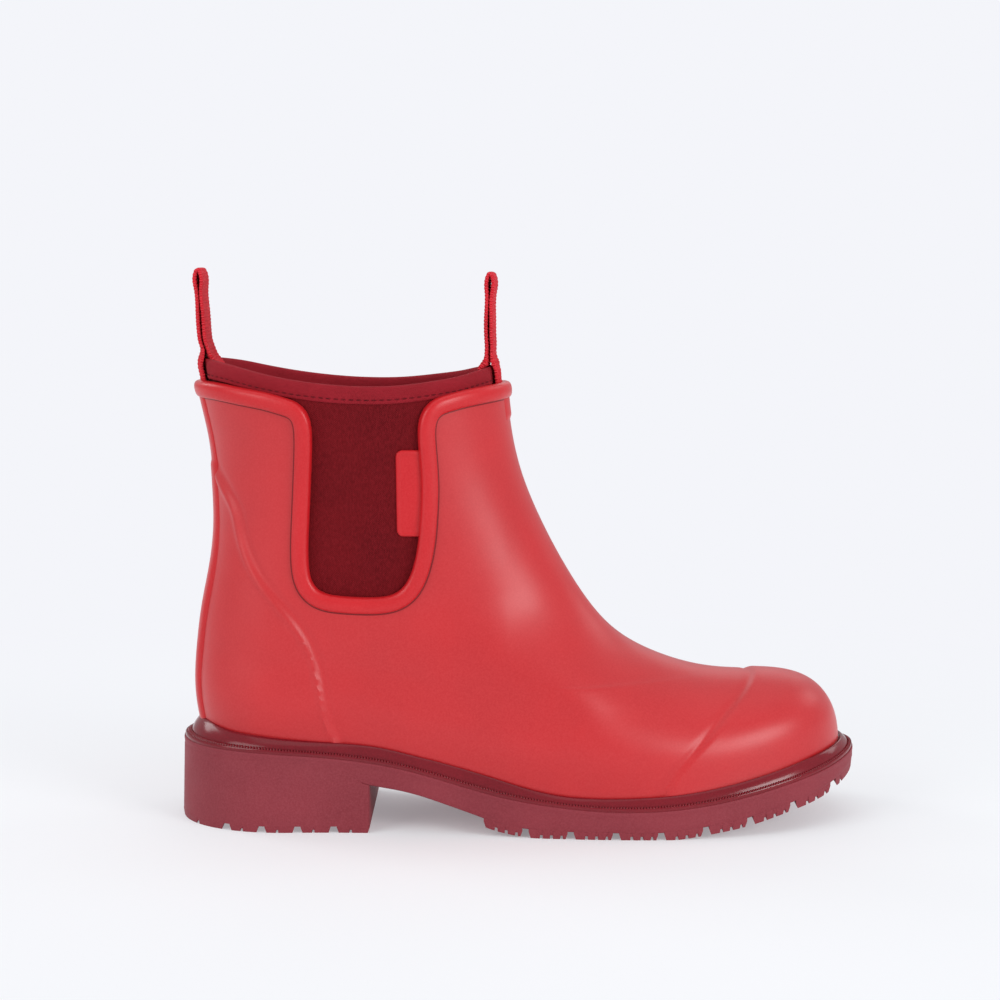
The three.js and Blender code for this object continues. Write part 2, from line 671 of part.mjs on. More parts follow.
// Tab on the gusset, sewn along its front edge beside the rim.
const TAB_LOW = 118.5;
const TAB_FRONT = -40.3;
function sideTab() {
  const rows = steps(TAB_LOW * KZ, TAB_LOW * KZ + TAB_H, 4);
  const front = Math.min(...rows.map((z) => gussetFrontEdge(z)));
  const columns = steps(front - TAB_L, front, 3);
  const grid = (out) => rows.map((z) => columns.map((x) => skin(x, z, -1, out)));
  const inner = PANEL_OUT + GAP;
  return sheet(grid(inner + TAB_T), grid(inner));
}

// The rim lip's face on the gusset's front side, at a height, with room for the tab.
function gussetFrontEdge(z) {
  const frontSide = RIM_U.slice(18, 26).map(([x, h]) => [h, x]);
  return curve(frontSide)(z / KZ) * KX - RIM_W / 2 - 2 * GAP;
}

// ---- Sole ----
function ledge(angle) {
  const rear = Math.max(0, Math.cos(angle)) ** 3;
  const toe = Math.max(0, -Math.cos(angle)) ** 3;
  return SIDE_LEDGE + (REAR_LEDGE - SIDE_LEDGE) * rear + (TOE_LEDGE - SIDE_LEDGE) * toe;
}

function welt() {
  const shoulder = level((x) => featherAt(x) + 0.1);
  const at = (line, out, zAt) => ring(line, out, true).map(([x, y]) => [x, y, zAt(x)]);
  const bottom = above(GAP);
  const lip = above(GAP + 1.1);
  const rings = [
    at(foot, GAP, bottom), at(foot, (a) => ledge(a) - 0.4, bottom), at(foot, (a) => ledge(a) - 0.4, lip),
    at(shoulder, 1.5, shoulder.zAt), at(shoulder, GAP, shoulder.zAt),
  ];
  return hoop(rings[0].map((_, j) => rings.map((r) => r[j])));
}

const heelBreast = HEEL_BREAST * KX;
const pocketSpan = [8 * KX, 108 * KX];

function lugBars() {
  const bars = [];
  for (let x = LUG_FRONT * KX; x - LUG_PITCH > LUG_REAR * KX; x -= LUG_PITCH)
    bars.push(block(x - LUG_PITCH + LUG_GAP, x));
  const all = bars.reduce((a, b) => a.add(b));
  const layer = slab((a) => ledge(a) - 0.8, lugFoot, (x) => soleUnder(x) + 0.6);
  return layer.intersect(all);
}

function outsole() {
  const plate = slab(ledge, soleUnder, soleTop);
  const pocket = slab(-FILLER_WALL, (x) => soleTop(x) - POCKET_DEPTH, above(5));
  const shankSlot = plank(SHANK_W / 2 + GAP, [SHANK_REAR * KX - GAP, SHANK_FRONT * KX + GAP],
    (x) => soleTop(x) - SHANK_T - 2 * GAP, above(5));
  return plate
    .add(lugBars())
    .subtract(pocket.intersect(block(...pocketSpan)))
    .subtract(shankSlot);
}

function forefootFiller() {
  const core = slab(-FILLER_WALL - GAP, (x) => soleTop(x) - POCKET_DEPTH + GAP, above(0));
  return core.intersect(block(pocketSpan[0] + GAP, pocketSpan[1] - GAP));
}

// A straight-sided bar that follows the sole's heights.
function plank(half, [x0, x1], zLow, zHigh) {
  const row = (x, zAt) => [[x, -half, zAt(x)], [x, half, zAt(x)]];
  const stations = steps(x0, x1, 10);
  return sheet(stations.map((x) => row(x, zHigh)), stations.map((x) => row(x, zLow)));
}

const shank = () =>
  plank(SHANK_W / 2, [SHANK_REAR * KX, SHANK_FRONT * KX], (x) => soleTop(x) - SHANK_T - GAP, above(-GAP));

const heelTop = (x) => soleUnder(x) - GAP;
const heelCore = (out, floor, top) => slab(-HEEL_WALL + out, () => floor, top);

function heelBlock() {
  const slots = Array.from({ length: HEEL_SLOTS }, (_, i) => {
    const x = heelBreast - HEEL_SLOT_PITCH * (i + 1) - LUG_GAP / 2;
    return block(x, x + LUG_GAP, -5, HEEL_SLOT_DEPTH);
  }).reduce((a, b) => a.add(b));
  const core = heelCore(0, HEEL_FLOOR, above(5)).intersect(block(-300, heelBreast - HEEL_WALL));
  return slab((a) => ledge(a) - 0.3, () => 0, heelTop, HEEL_FLARE)
    .intersect(block(-300, heelBreast))
    .subtract(core)
    .subtract(slots);
}

function heelFiller() {
  const floor = HEEL_FLOOR + GAP;
  const core = heelCore(-GAP, floor, (x) => Math.max(floor + 1, heelTop(x) - GAP));
  return core.intersect(block(-300, heelBreast - HEEL_WALL - GAP));
}

// ---- Inside ----
const boardInset = PANEL_IN - 2 * GAP - 0.2;
const insoleBoard = () => slab(boardInset, above(BOARD_LOW), above(BOARD_LOW + BOARD_T));
const footbedInset = LINING_IN - FOOTBED_GAP;

// The footbed's outline clears the sock both at its floor and where the top cloth meets its wall.
function footbedRing(zAt) {
  const low = ring(foot, footbedInset, true);
  const high = ring(level(above(CLOTH_LOW + CLOTH_T)), footbedInset, true);
  const nearer = (a, b, centre) => (Math.abs(a - centre) < Math.abs(b - centre) ? a : b);
  return low.map((p, i) => {
    const x = nearer(p[0], high[i][0], 0);
    const y = nearer(p[1], high[i][1], middleY(x));
    return [x, y, zAt(x)];
  });
}
const footbedSlab = (low, high) => stack([footbedRing(above(low)), footbedRing(above(high))]);
const footbedFoam = () => footbedSlab(FOAM_LOW, FOAM_LOW + FOAM_T);
const footbedTopcloth = () => footbedSlab(CLOTH_LOW, CLOTH_LOW + CLOTH_T);

// ---- Assembly ----
const look = (color, roughness, metalness = 0) =>
  new THREE.MeshStandardMaterial({ color, roughness, metalness });
const RUBBER = look(0xd23c42, 0.42);
const RIM = look(0xcd2d35, 0.35);
const NEOPRENE = look(0x711f24, 0.95);
const BINDING = look(0x902831, 0.8);
const WEBBING = look(0xa72f3b, 0.85);
const SOLE = look(0x8a3a43, 0.7);
const WELT = look(0x78272e, 0.3);
const FOAM = look(0x55555a, 0.95);
const CLOTH = look(0x6e2026, 0.95);
const BOARD = look(0xa98c64, 0.9);
const STEEL = look(0x9a9da1, 0.35, 1);
const FILLER = look(0x3a3a3c, 0.95);

const PARTS = [
  ["upper_shell", upperShell, RUBBER],
  ["rim_band", rimBand, RIM],
  ["backstay_strip", backstayStrip, RIM],
  ["front_patch", frontPatch, RIM],
  ["gusset_panel_lateral", () => gussetPanel(-1), NEOPRENE],
  ["gusset_panel_medial", () => gussetPanel(1), NEOPRENE],
  ["toe_puff", toePuff, FILLER],
  ["heel_stiffener", heelStiffener, FILLER],
  ["lining_sock", liningSock, NEOPRENE],
  ["collar_binding", collarBinding, BINDING],
  ["pull_loop_back", () => pullLoop(-1), WEBBING],
  ["pull_loop_front", () => pullLoop(1), WEBBING],
  ["loop_leg_back_outer", () => loopLeg(-1, LEG_OUT), WEBBING],
  ["loop_leg_back_inner", () => loopLeg(-1, INNER_LEG_OUT), WEBBING],
  ["loop_leg_front_outer", () => loopLeg(1, LEG_OUT), WEBBING],
  ["loop_leg_front_inner", () => loopLeg(1, INNER_LEG_OUT), WEBBING],
  ["side_tab", sideTab, RIM],
  ["footbed_foam", footbedFoam, FOAM],
  ["footbed_topcloth", footbedTopcloth, CLOTH],
  ["insole_board", insoleBoard, BOARD],
  ["shank", shank, STEEL],
  ["forefoot_filler", forefootFiller, FILLER],
  ["heel_filler", heelFiller, FILLER],
  ["welt", welt, WELT],
  ["outsole", outsole, SOLE],
  ["heel_block", heelBlock, SOLE],
];

function asGeometry(body) {
  const { vertProperties, triVerts } = body.getMesh();
  return new THREE.BufferGeometry()
    .setAttribute("position", new THREE.BufferAttribute(new Float32Array(vertProperties), 3))
    .setIndex(new THREE.BufferAttribute(new Uint32Array(triVerts), 1));
}

const boot = new THREE.Group();
for (const [name, make, material] of PARTS) {
  const mesh = new THREE.Mesh(asGeometry(make()), material.clone());
  mesh.name = name;
  boot.add(mesh);
}

// The origin is the middle of the bounding box, at the ground.
const box = new THREE.Box3().setFromObject(boot);
const middle = box.getCenter(new THREE.Vector3());
for (const mesh of boot.children) mesh.geometry.translate(-middle.x, -middle.y, -box.min.z);

export default boot;
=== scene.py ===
import math

import bmesh
import bpy
import numpy as np
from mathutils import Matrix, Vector


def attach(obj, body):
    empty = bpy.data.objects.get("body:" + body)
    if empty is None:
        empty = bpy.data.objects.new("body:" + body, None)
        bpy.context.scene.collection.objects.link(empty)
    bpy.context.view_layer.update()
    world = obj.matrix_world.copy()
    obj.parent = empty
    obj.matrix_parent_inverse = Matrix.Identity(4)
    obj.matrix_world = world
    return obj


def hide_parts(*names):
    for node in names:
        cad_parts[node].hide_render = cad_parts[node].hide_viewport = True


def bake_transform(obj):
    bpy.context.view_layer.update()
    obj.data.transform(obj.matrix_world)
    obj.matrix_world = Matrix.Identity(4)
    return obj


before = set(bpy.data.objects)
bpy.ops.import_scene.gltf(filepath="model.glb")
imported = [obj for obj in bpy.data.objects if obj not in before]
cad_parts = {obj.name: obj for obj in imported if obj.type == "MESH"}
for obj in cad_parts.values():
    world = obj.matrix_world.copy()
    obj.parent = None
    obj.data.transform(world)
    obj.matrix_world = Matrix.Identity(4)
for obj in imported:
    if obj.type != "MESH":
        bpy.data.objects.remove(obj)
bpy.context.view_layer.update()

# Shapes are worked out in millimetres on the part's own drawing curves, and moved into the
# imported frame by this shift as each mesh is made.
DRAWING_SHIFT = np.array([0.0871, 0.6274, 0.0])

# ---- Sizes, in millimetres ----
SHELL_T = 2.0
GAP = 0.3
RIM_W = 6.5
PANEL_OUT = -2.3
PANEL_T = 1.3
LINING_IN = -6.4
LINING_T = 2.5
BINDING_H = 6.0
BINDING_IN = -7.6
WEB_W = 20.0
WEB_T = 1.2
LEG_OUT = -2.3
INNER_LEG_OUT = -7.9
LOOP_RISE = 37.0
LOOP_HIDDEN = 15.0
TAB_L = 8.2
TAB_LOW = 118.5
TAB_H = 35.0
SIDE_LEDGE = 4.4
REAR_LEDGE = 9.6
TOE_LEDGE = 5.8
LUG_H = 3.3
LUG_IN = 0.2
LUG_SUNK = 0.8
LUG_PITCH = 17.9
LUG_GAP = 2.5
LUG_FRONT = 126.4
LUG_REAR = -14.4
HEEL_BREAST = -60.0
HEEL_SLOTS = 4
HEEL_SLOT_PITCH = 14.5
HEEL_SLOT_DEPTH = 2.6
HEEL_LAP = 3.0
HEEL_CORNER = 1.2
HEEL_ROUND = [(1, 0), (0.45, 0.12), (0.12, 0.45)]  # shares of the corner along its two edges
HEEL_TREAD_OUT = 0.82
HEEL_TOP_OUT = 0.09
SOCK_LOW = 2.4
FOAM_LOW = 5.4
FOAM_T = 5.0
CLOTH_LOW = 10.7
CLOTH_T = 1.0
FOOTBED_GAP = 1.8


# ---- Curves ----
def clamp01(t):
    return np.clip(t, 0.0, 1.0)


def smooth(t):
    t = clamp01(t)
    return t * t * (3 - 2 * t)


def mix(a, b, t):
    return a + (b - a) * t


def walked(points):
    """Distance of each point of a run from its first, along the run."""
    steps = np.linalg.norm(np.diff(points, axis=0), axis=1)
    return np.concatenate([[0], np.cumsum(steps)])


def curve(points):
    """Natural cubic spline through (x, y) points, straight beyond its ends."""
    x = np.array([p[0] for p in points], float)
    y = np.array([p[1] for p in points], float)
    n = len(x)
    h = np.diff(x)
    system = np.eye(n)
    right = np.zeros(n)
    for i in range(1, n - 1):
        system[i, i - 1 : i + 2] = h[i - 1], 2 * (h[i - 1] + h[i]), h[i]
        right[i] = 6 * ((y[i + 1] - y[i]) / h[i] - (y[i] - y[i - 1]) / h[i - 1])
    bend = np.linalg.solve(system, right)
    first = (y[1] - y[0]) / h[0] - h[0] * bend[1] / 6
    last = (y[-1] - y[-2]) / h[-1] + h[-1] * bend[-2] / 6

    def at(t):
        t = np.asarray(t, float)
        inside = np.clip(t, x[0], x[-1])
        i = np.clip(np.searchsorted(x, inside) - 1, 0, n - 2)
        a = (x[i + 1] - inside) / h[i]
        b = 1 - a
        cubic = (a**3 - a) * bend[i] + (b**3 - b) * bend[i + 1]
        value = a * y[i] + b * y[i + 1] + cubic * h[i] ** 2 / 6
        before = np.where(t < x[0], (t - x[0]) * first, 0)
        return value + before + np.where(t > x[-1], (t - x[-1]) * last, 0)

    return at


heel_line = curve([
    (30, -128.2), (40, -130.8), (55, -132.6), (70, -131.8), (88, -129.4), (104, -126.2),
    (121, -124.3), (138, -124.6), (155, -126), (168, -128.6), (180, -131.2), (195, -134),
])
RIDGE = [
    (133.6, 20), (133.4, 31), (131.4, 42.3), (125.2, 51.9), (115, 57.2), (100, 59.1), (84, 59.9),
    (67, 63.2), (47, 71.6), (33, 83.2), (19.5, 102.7), (9, 122.5), (1, 142.3), (-3.2, 161),
    (-5.4, 180), (-8, 205), (-16, 280), (-45, 450), (-140, 1000),
]
feather_z = curve([
    (-132, 38.3), (-121, 36.8), (-108, 35), (-90, 34.1), (-72, 33.6), (-50, 29.3), (-30, 24.2),
    (-12, 19.8), (5, 17.2), (22, 15.9), (40, 15.6), (60, 16.9), (80, 19.8), (97, 23.4),
    (112, 27.1), (123, 29.7), (134, 31.6),
])
welt_top = curve([
    (-132, 42.2), (-127, 41), (-122, 39.7), (-110, 38.2), (-96, 36.9), (-86, 36.1), (-70, 35.2),
    (-56, 33.6), (-48, 31.9), (-35, 29), (-21, 25.6), (-8, 22), (5, 18.5), (19, 16.3), (32, 15.8),
    (48, 16.2), (60, 17), (80, 19.8), (97, 23.4), (112, 27.1), (123, 29.7), (134, 31.6),
])
sole_top = curve([
    (-140, 33.2), (-131, 32.8), (-107, 32.2), (-87, 31), (-47.5, 26), (-8, 16.2), (16, 12.6),
    (36, 11.2), (52, 11.3), (72, 13), (91.5, 16.3), (111, 20.6), (123, 23.4), (134, 26.4),
    (140, 28),
])
sole_under = curve([
    (-140, 28.2), (-100, 26.3), (-75, 22.6), (-60, 19.2), (-48, 17.2), (-38, 14.8), (-29, 12),
    (-19, 8.8), (-9, 5.6), (0, 3.9), (10, 3.1), (30, 2.8), (60, 3.1), (76, 5.1), (91, 7.6),
    (100, 9.8), (110, 12.4), (120, 15), (129, 18.3), (136, 21.5), (140, 23.4),
])
collar = curve([
    (-132, 188), (-118, 186), (-110, 184.3), (-98, 182), (-86, 180.3), (-73, 179.1),
    (-61, 178.6), (-47, 179), (-31, 180.9), (-20, 182.8), (-13, 184.6), (-6, 186.2),
])
foot_half_outer = curve([
    (-135, 30), (-100, 30.5), (-70, 31.5), (-40, 34.5), (-10, 39.5), (20, 43.5), (45, 45),
    (80, 44.5), (110, 44), (135, 44),
])
foot_half_inner = curve([
    (-135, 30), (-100, 30.5), (-70, 29.5), (-40, 27.7), (-15, 29.2), (10, 34), (40, 40.5),
    (65, 43.5), (90, 43), (110, 42), (135, 42),
])
ankle_half = curve([
    (20, 31), (45, 31.6), (70, 32), (90, 31.6), (110, 32.5), (130, 34.5), (150, 37), (170, 39.3),
    (190, 41),
])
middle_y = curve([(-140, 0), (0, 0), (40, 0), (75, 0.8), (105, 3.2), (135, 6)])
heel_round = curve([(30, 35), (60, 38), (100, 46), (140, 56), (180, 62), (200, 63)])
TOE_ROUND = 57.0
RIDGE_ROUND = 40.0
ANKLE_FROM = 42.0
ANKLE_BLEND = 55.0
BULGE = 0.045
BULGE_H = 36.0
RIDGE_STEPS = 4000


def ridge_line():
    """Toe, vamp and instep line, walked by the square root of its spacing."""
    points = np.array(RIDGE, float)
    walk = np.concatenate([[0], np.cumsum(np.sqrt(np.hypot(*np.diff(points, axis=0).T)))])
    t = np.linspace(0, walk[-1], RIDGE_STEPS)
    return curve(list(zip(walk, points[:, 0])))(t), curve(list(zip(walk, points[:, 1])))(t)


ridge_xs, ridge_zs = ridge_line()


def ridge_x(z):
    return np.interp(z, ridge_zs, ridge_xs)


def ridge_z(x):
    return np.interp(-np.asarray(x, float), -ridge_xs, ridge_zs)


def round_off(t):
    return 1 - (1 - np.clip(t, -1, 1)) ** 2


def half_squared(x, z, side):
    """Square of the upper's half width at x and z; side is -1 outside and 1 inside."""
    ankle = smooth((z - ANKLE_FROM) / ANKLE_BLEND)
    belly = clamp01((z - feather_z(x)) / BULGE_H)
    foot_half = np.where(side < 0, foot_half_outer(x), foot_half_inner(x))
    half = mix(foot_half, ankle_half(z), ankle) * (1 + BULGE * np.sin(np.pi * belly) ** 2)
    ahead = ridge_x(z) - x
    over = ridge_z(x) - z
    inside = np.where((ahead > 0) & (over > 0), 1, -1)
    ahead = np.where(abs(ahead) < 1e-6, 1e-6, ahead)
    over = np.where(abs(over) < 1e-6, 1e-6, over)
    toe = inside / np.hypot(TOE_ROUND / ahead, RIDGE_ROUND / over)
    heel = (x - heel_line(z)) / heel_round(z)
    return half * half * round_off(toe) * round_off(heel)


PROBE = 0.02


def skin(x, z, side, out=0.0, flat=False):
    """Points on the upper's outer face, moved out along the face's normal."""
    x, z, side, out = np.broadcast_arrays(*(np.asarray(v, float) for v in (x, z, side, out)))
    half = np.sqrt(np.maximum(0, half_squared(x, z, side)))
    slope_x = half_squared(x + PROBE, z, side) - half_squared(x - PROBE, z, side)
    slope_z = half_squared(x, z + PROBE, side) - half_squared(x, z - PROBE, side)
    drift = (middle_y(x + PROBE) - middle_y(x - PROBE)) / (2 * PROBE)
    n = np.stack([
        -slope_x / (2 * PROBE) - 2 * side * half * drift,
        2 * side * half,
        np.zeros_like(x) if flat else -slope_z / (2 * PROBE),
    ], -1)
    n /= np.linalg.norm(n, axis=-1, keepdims=True) + 1e-12
    return np.stack([x, middle_y(x) + side * half, z], -1) + n * out[..., None]


def level(z_at):
    """Ends of a level line round the boot, on its centre plane."""
    back = heel_line(z_at(heel_line(100.0)))
    front = ridge_x(z_at(0.0))
    for _ in range(8):
        back = heel_line(z_at(back))
        front = ridge_x(z_at(front))
    return float(back), float(front), z_at


def turns(count):
    """Evenly spaced turns round the boot: back, outer side, front, inner side."""
    return 2 * np.pi * np.arange(count) / count


def side_of(turn):
    return np.where(turn <= np.pi, -1.0, 1.0)


def along(line, turn):
    return mix(line[0], line[1], (1 - np.cos(turn)) / 2)


def ring(line, out, turn, flat=False):
    x = along(line, turn)
    return skin(x, line[2](x), side_of(turn), out, flat)


def raised(line, height):
    """A line of the side view, moved up by a height."""
    return lambda x: line(x) + height


def above(height):
    return raised(sole_top, height)


def flat_at(height):
    return lambda x: 0 * x + height


foot = level(above(GAP))
throat = level(raised(collar, -BINDING_H - GAP))


def plan_ring(out, z_at, turn):
    p = ring(foot, out, turn, flat=True)
    p[..., 2] = z_at(p[..., 0])
    return p


def ledge(turn):
    rear = np.maximum(0, np.cos(turn)) ** 3
    toe = np.maximum(0, -np.cos(turn)) ** 3
    return SIDE_LEDGE + (REAR_LEDGE - SIDE_LEDGE) * rear + (TOE_LEDGE - SIDE_LEDGE) * toe


def upper_grid(ts, turn):
    """x and z of the upper's wall, for heights ts from 0 at the sole to 1 under the binding."""
    low_z, high_z = foot[2](foot[1]), throat[2](throat[1])
    between = (ridge_zs > low_z) & (ridge_zs < high_z)
    px = np.concatenate([[foot[1]], ridge_xs[between], [throat[1]]])
    pz = np.concatenate([[low_z], ridge_zs[between], [high_z]])
    walk = walked(np.stack([px, pz], -1))
    u = (1 - np.cos(turn)) / 2

    def sag(line):
        x = mix(line[0], line[1], u)
        return line[2](x) - mix(line[2](line[0]), line[2](line[1]), u)

    xs, zs = [], []
    for t in ts:
        front = np.interp(t**1.3 * walk[-1], walk, px)
        front_z = np.interp(t**1.3 * walk[-1], walk, pz)
        back_z = mix(foot[2](foot[0]), throat[2](throat[0]), 0.3 * t + 0.7 * t * t)
        back = heel_line(back_z)
        xs.append(mix(back, front, u))
        zs.append(mix(back_z, front_z, u) + (1 - t) ** 2 * sag(foot) + t**3 * sag(throat))
    return np.array(xs), np.array(zs)


# ---- Meshes ----
def grid_faces(rows, cols, loop=False, loop_rows=False):
    i = np.arange(rows if loop_rows else rows - 1)[:, None]
    j = np.arange(cols if loop else cols - 1)[None]
    a = i * cols + j
    b = i * cols + (j + 1) % cols
    c = (i + 1) % rows * cols + (j + 1) % cols
    d = (i + 1) % rows * cols + j
    return np.stack(np.broadcast_arrays(a, b, c, d), -1).reshape(-1, 4)


def thick(outer, inner, faces):
    """A closed body between two layers of the same faces."""
    n = len(outer)
    sides = np.concatenate([faces[:, [k, (k + 1) % 4]] for k in range(4)])
    sides = sides[sides[:, 0] != sides[:, 1]]
    open_edge = ~np.isin(sides[:, 0] * n + sides[:, 1], sides[:, 1] * n + sides[:, 0])
    a, b = sides[open_edge].T
    walls = np.stack([b, a, a + n, b + n], -1)
    return np.vstack([outer, inner]), np.vstack([faces, faces[:, ::-1] + n, walls])


def slab(outer, inner):
    """A closed body between two grids of points."""
    return thick(outer.reshape(-1, 3), inner.reshape(-1, 3), grid_faces(*outer.shape[:2]))


def joined(parts):
    """Several (points, faces) as one."""
    points, faces, start = [], [], 0
    for p, f in parts:
        points.append(np.asarray(p, float).reshape(-1, 3))
        faces.append(np.asarray(f) + start)
        start += len(points[-1])
    return np.vstack(points), np.vstack(faces)


def placed(name, data):
    """A new object in the scene."""
    obj = bpy.data.objects.new(name, data)
    bpy.context.scene.collection.objects.link(obj)
    return obj


def make(name, points, faces, material, slot, body="boot", replaces=(), uv=None, sharp=35,
         weld=1e-6):
    """A piece from points in drawing millimetres, riding on a body and standing for CAD nodes."""
    points = np.asarray(points, float).reshape(-1, 3)
    used, faces = np.unique(np.asarray(faces), return_inverse=True)
    faces = faces.reshape(-1, 4)
    points = points[used]
    mesh = bpy.data.meshes.new(name)
    polygons = [list(dict.fromkeys(f)) for f in faces.tolist()]
    mesh.from_pydata(((points + DRAWING_SHIFT) / 1000).tolist(), [],
                     [p for p in polygons if len(p) > 2])
    if uv is not None:
        layer = mesh.uv_layers.new(name="UVMap")
        corner = np.zeros(len(mesh.loops), int)
        mesh.loops.foreach_get("vertex_index", corner)
        layer.data.foreach_set("uv", np.asarray(uv, float).reshape(-1, 2)[used][corner].ravel())
    solid = bmesh.new()
    solid.from_mesh(mesh)
    bmesh.ops.remove_doubles(solid, verts=solid.verts, dist=weld)
    bmesh.ops.dissolve_degenerate(solid, dist=1e-7, edges=solid.edges)
    bmesh.ops.recalc_face_normals(solid, faces=solid.faces)
    solid.to_mesh(mesh)
    solid.free()
    mesh.polygons.foreach_set("use_smooth", [True] * len(mesh.polygons))
    mesh.set_sharp_from_angle(angle=math.radians(sharp))
    mesh.materials.append(material)
    obj = placed(name, mesh)
    if body:
        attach(obj, body)
    if replaces:
        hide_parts(*replaces)
    return obj


def hoop(sections):
    """A closed hoop of closed sections, as (points, faces)."""
    n, m = sections.shape[:2]
    return sections.reshape(-1, 3), grid_faces(n, m, loop=True, loop_rows=True)


def sweep(sections):
    """An open run of closed sections, its ends closed on their centres."""
    n, m = sections.shape[:2]
    ends = np.stack([sections[0].mean(0), sections[-1].mean(0)])
    points = np.vstack([sections.reshape(-1, 3), ends])
    j = np.arange(m)
    k = (j + 1) % m
    first = np.stack([j, k, np.full(m, n * m), np.full(m, n * m)], -1)
    last = np.stack([k, j, j * 0 + n * m + 1, j * 0 + n * m + 1], -1)
    last[:, :2] += (n - 1) * m
    return points, np.vstack([grid_faces(n, m, loop=True), first, last])


CAP_STEPS = [0.97, 0.9, 0.75, 0.5, 0.25, 0.0]


def cap_rings(edge, z_at):
    """Rings from an edge in to the boot's centre line, to close a stack of rings."""
    opposite = edge[-np.arange(len(edge)) % len(edge)]
    x = (edge[:, 0] + opposite[:, 0]) / 2
    centre = np.stack([x, middle_y(x), z_at(x)], -1)
    rings = []
    for s in CAP_STEPS:
        p = mix(centre, edge, s)
        p[:, 2] = z_at(p[:, 0])
        rings.append(p)
    return rings


def stack(rings):
    """A body between rings that start and end on the centre line, as (points, faces)."""
    rings = np.array(rings)
    return rings.reshape(-1, 3), grid_faces(len(rings), rings.shape[1], loop=True)


def capped(rings, low_z, high_z):
    """A body between two rings, closed across its foot and its top."""
    return stack(cap_rings(rings[0], low_z)[::-1] + rings + cap_rings(rings[-1], high_z))


def closed_across(rings):
    """A body between rings that are closed by strips from one side to the other."""
    rings = np.array(rings)
    count, n = rings.shape[:2]
    i = np.arange(n // 2 - 1)
    strip = np.stack([i, i + 1, n - 2 - i, n - 1 - i], -1)
    walls = grid_faces(count, n, loop=True)
    return rings.reshape(-1, 3), np.vstack([walls, strip[:, ::-1], strip + (count - 1) * n])


# ---- Materials ----
def linear(r, g, b):
    """Linear colour from 0-255 sRGB."""
    return tuple(
        (c / 255 / 12.92) if c / 255 <= 0.04045 else ((c / 255 + 0.055) / 1.055) ** 2.4
        for c in (r, g, b)
    ) + (1.0,)


class Look:
    """A small helper round one node material. Its colours are 0-255 sRGB."""

    def __init__(self, name, roughness, **shader):
        self.material = bpy.data.materials.new(name)
        self.material.use_nodes = True
        self.nodes = self.material.node_tree.nodes
        self.links = self.material.node_tree.links
        self.shader = self.nodes["Principled BSDF"]
        self.fill(self.shader, Roughness=roughness, **shader)
        coordinates = self.node("TexCoord").outputs
        self.place = coordinates["Object"]
        self.flat = coordinates["UV"]
        self.normal = None

    def feed(self, socket, value):
        """Links another node's output to a socket, or sets a plain value on it."""
        if isinstance(value, bpy.types.NodeSocket):
            self.links.new(value, socket)
        else:
            socket.default_value = value

    def fill(self, node, **values):
        """Sets a node's properties, and feeds its sockets by name."""
        for key, value in values.items():
            if hasattr(node, key):
                setattr(node, key, value)
            else:
                self.feed(node.inputs[key.replace("_", " ")], value)

    def node(self, kind, **values):
        made = self.nodes.new("ShaderNode" + kind)
        self.fill(made, **values)
        return made

    def axes(self, source):
        """The separate x, y and z of a coordinate."""
        return self.node("SeparateXYZ", Vector=source).outputs

    def noise(self, scale, detail=3.0, place=None, stretch=None):
        source = place or self.place
        if stretch:
            source = self.node("Mapping", Scale=stretch, Vector=source).outputs["Vector"]
        made = self.node("TexNoise", Scale=scale, Detail=detail, Roughness=0.55, Vector=source)
        return made.outputs["Fac"]

    def ramp(self, value, low, high, to_low=0.0, to_high=1.0):
        made = self.node("MapRange", Value=value, From_Min=low, From_Max=high, To_Min=to_low,
                         To_Max=to_high)
        return made.outputs["Result"]

    def blend(self, factor, a, b):
        """Colours a and b mixed; each is a node's output or a plain colour."""
        made = self.node("Mix", data_type="RGBA")
        self.feed(made.inputs[0], factor)
        for socket, value in ((made.inputs[6], a), (made.inputs[7], b)):
            self.feed(socket, linear(*value) if isinstance(value, tuple) else value)
        return made.outputs[2]

    def math(self, operation, *values):
        made = self.node("Math", operation=operation)
        for socket, value in zip(made.inputs, values):
            self.feed(socket, value)
        return made.outputs[0]

    def bump(self, height, distance):
        self.normal = self.node(
            "Bump", Strength=1.0, Distance=distance, Height=height,
            **({"Normal": self.normal} if self.normal else {}),
        ).outputs["Normal"]
        self.fill(self.shader, Normal=self.normal)

    def colour(self, value):
        self.fill(self.shader, Base_Color=value)

    def rough(self, value):
        self.fill(self.shader, Roughness=value)

    def cloud(self, scale, detail, a, b):
        """Colours a and b in soft patches."""
        return self.blend(self.ramp(self.noise(scale, detail), 0.3, 0.7), a, b)

    def weave(self, u, v, pitch_u, pitch_v):
        """Height of over-and-under threads on two coordinates in metres."""
        across = self.math("SINE", self.math("MULTIPLY", u, 2 * math.pi / pitch_u))
        down = self.math("SINE", self.math("MULTIPLY", v, 2 * math.pi / pitch_v))
        return self.math("MULTIPLY", across, down)

    def threads(self, weave, yarn, tone, pale, light):
        """Paler colour on the tops of a weave and of its yarns."""
        both = self.math("ADD", weave, self.ramp(yarn, 0.3, 0.7, -1, 1))
        self.colour(self.blend(self.ramp(both, *light), tone, pale))


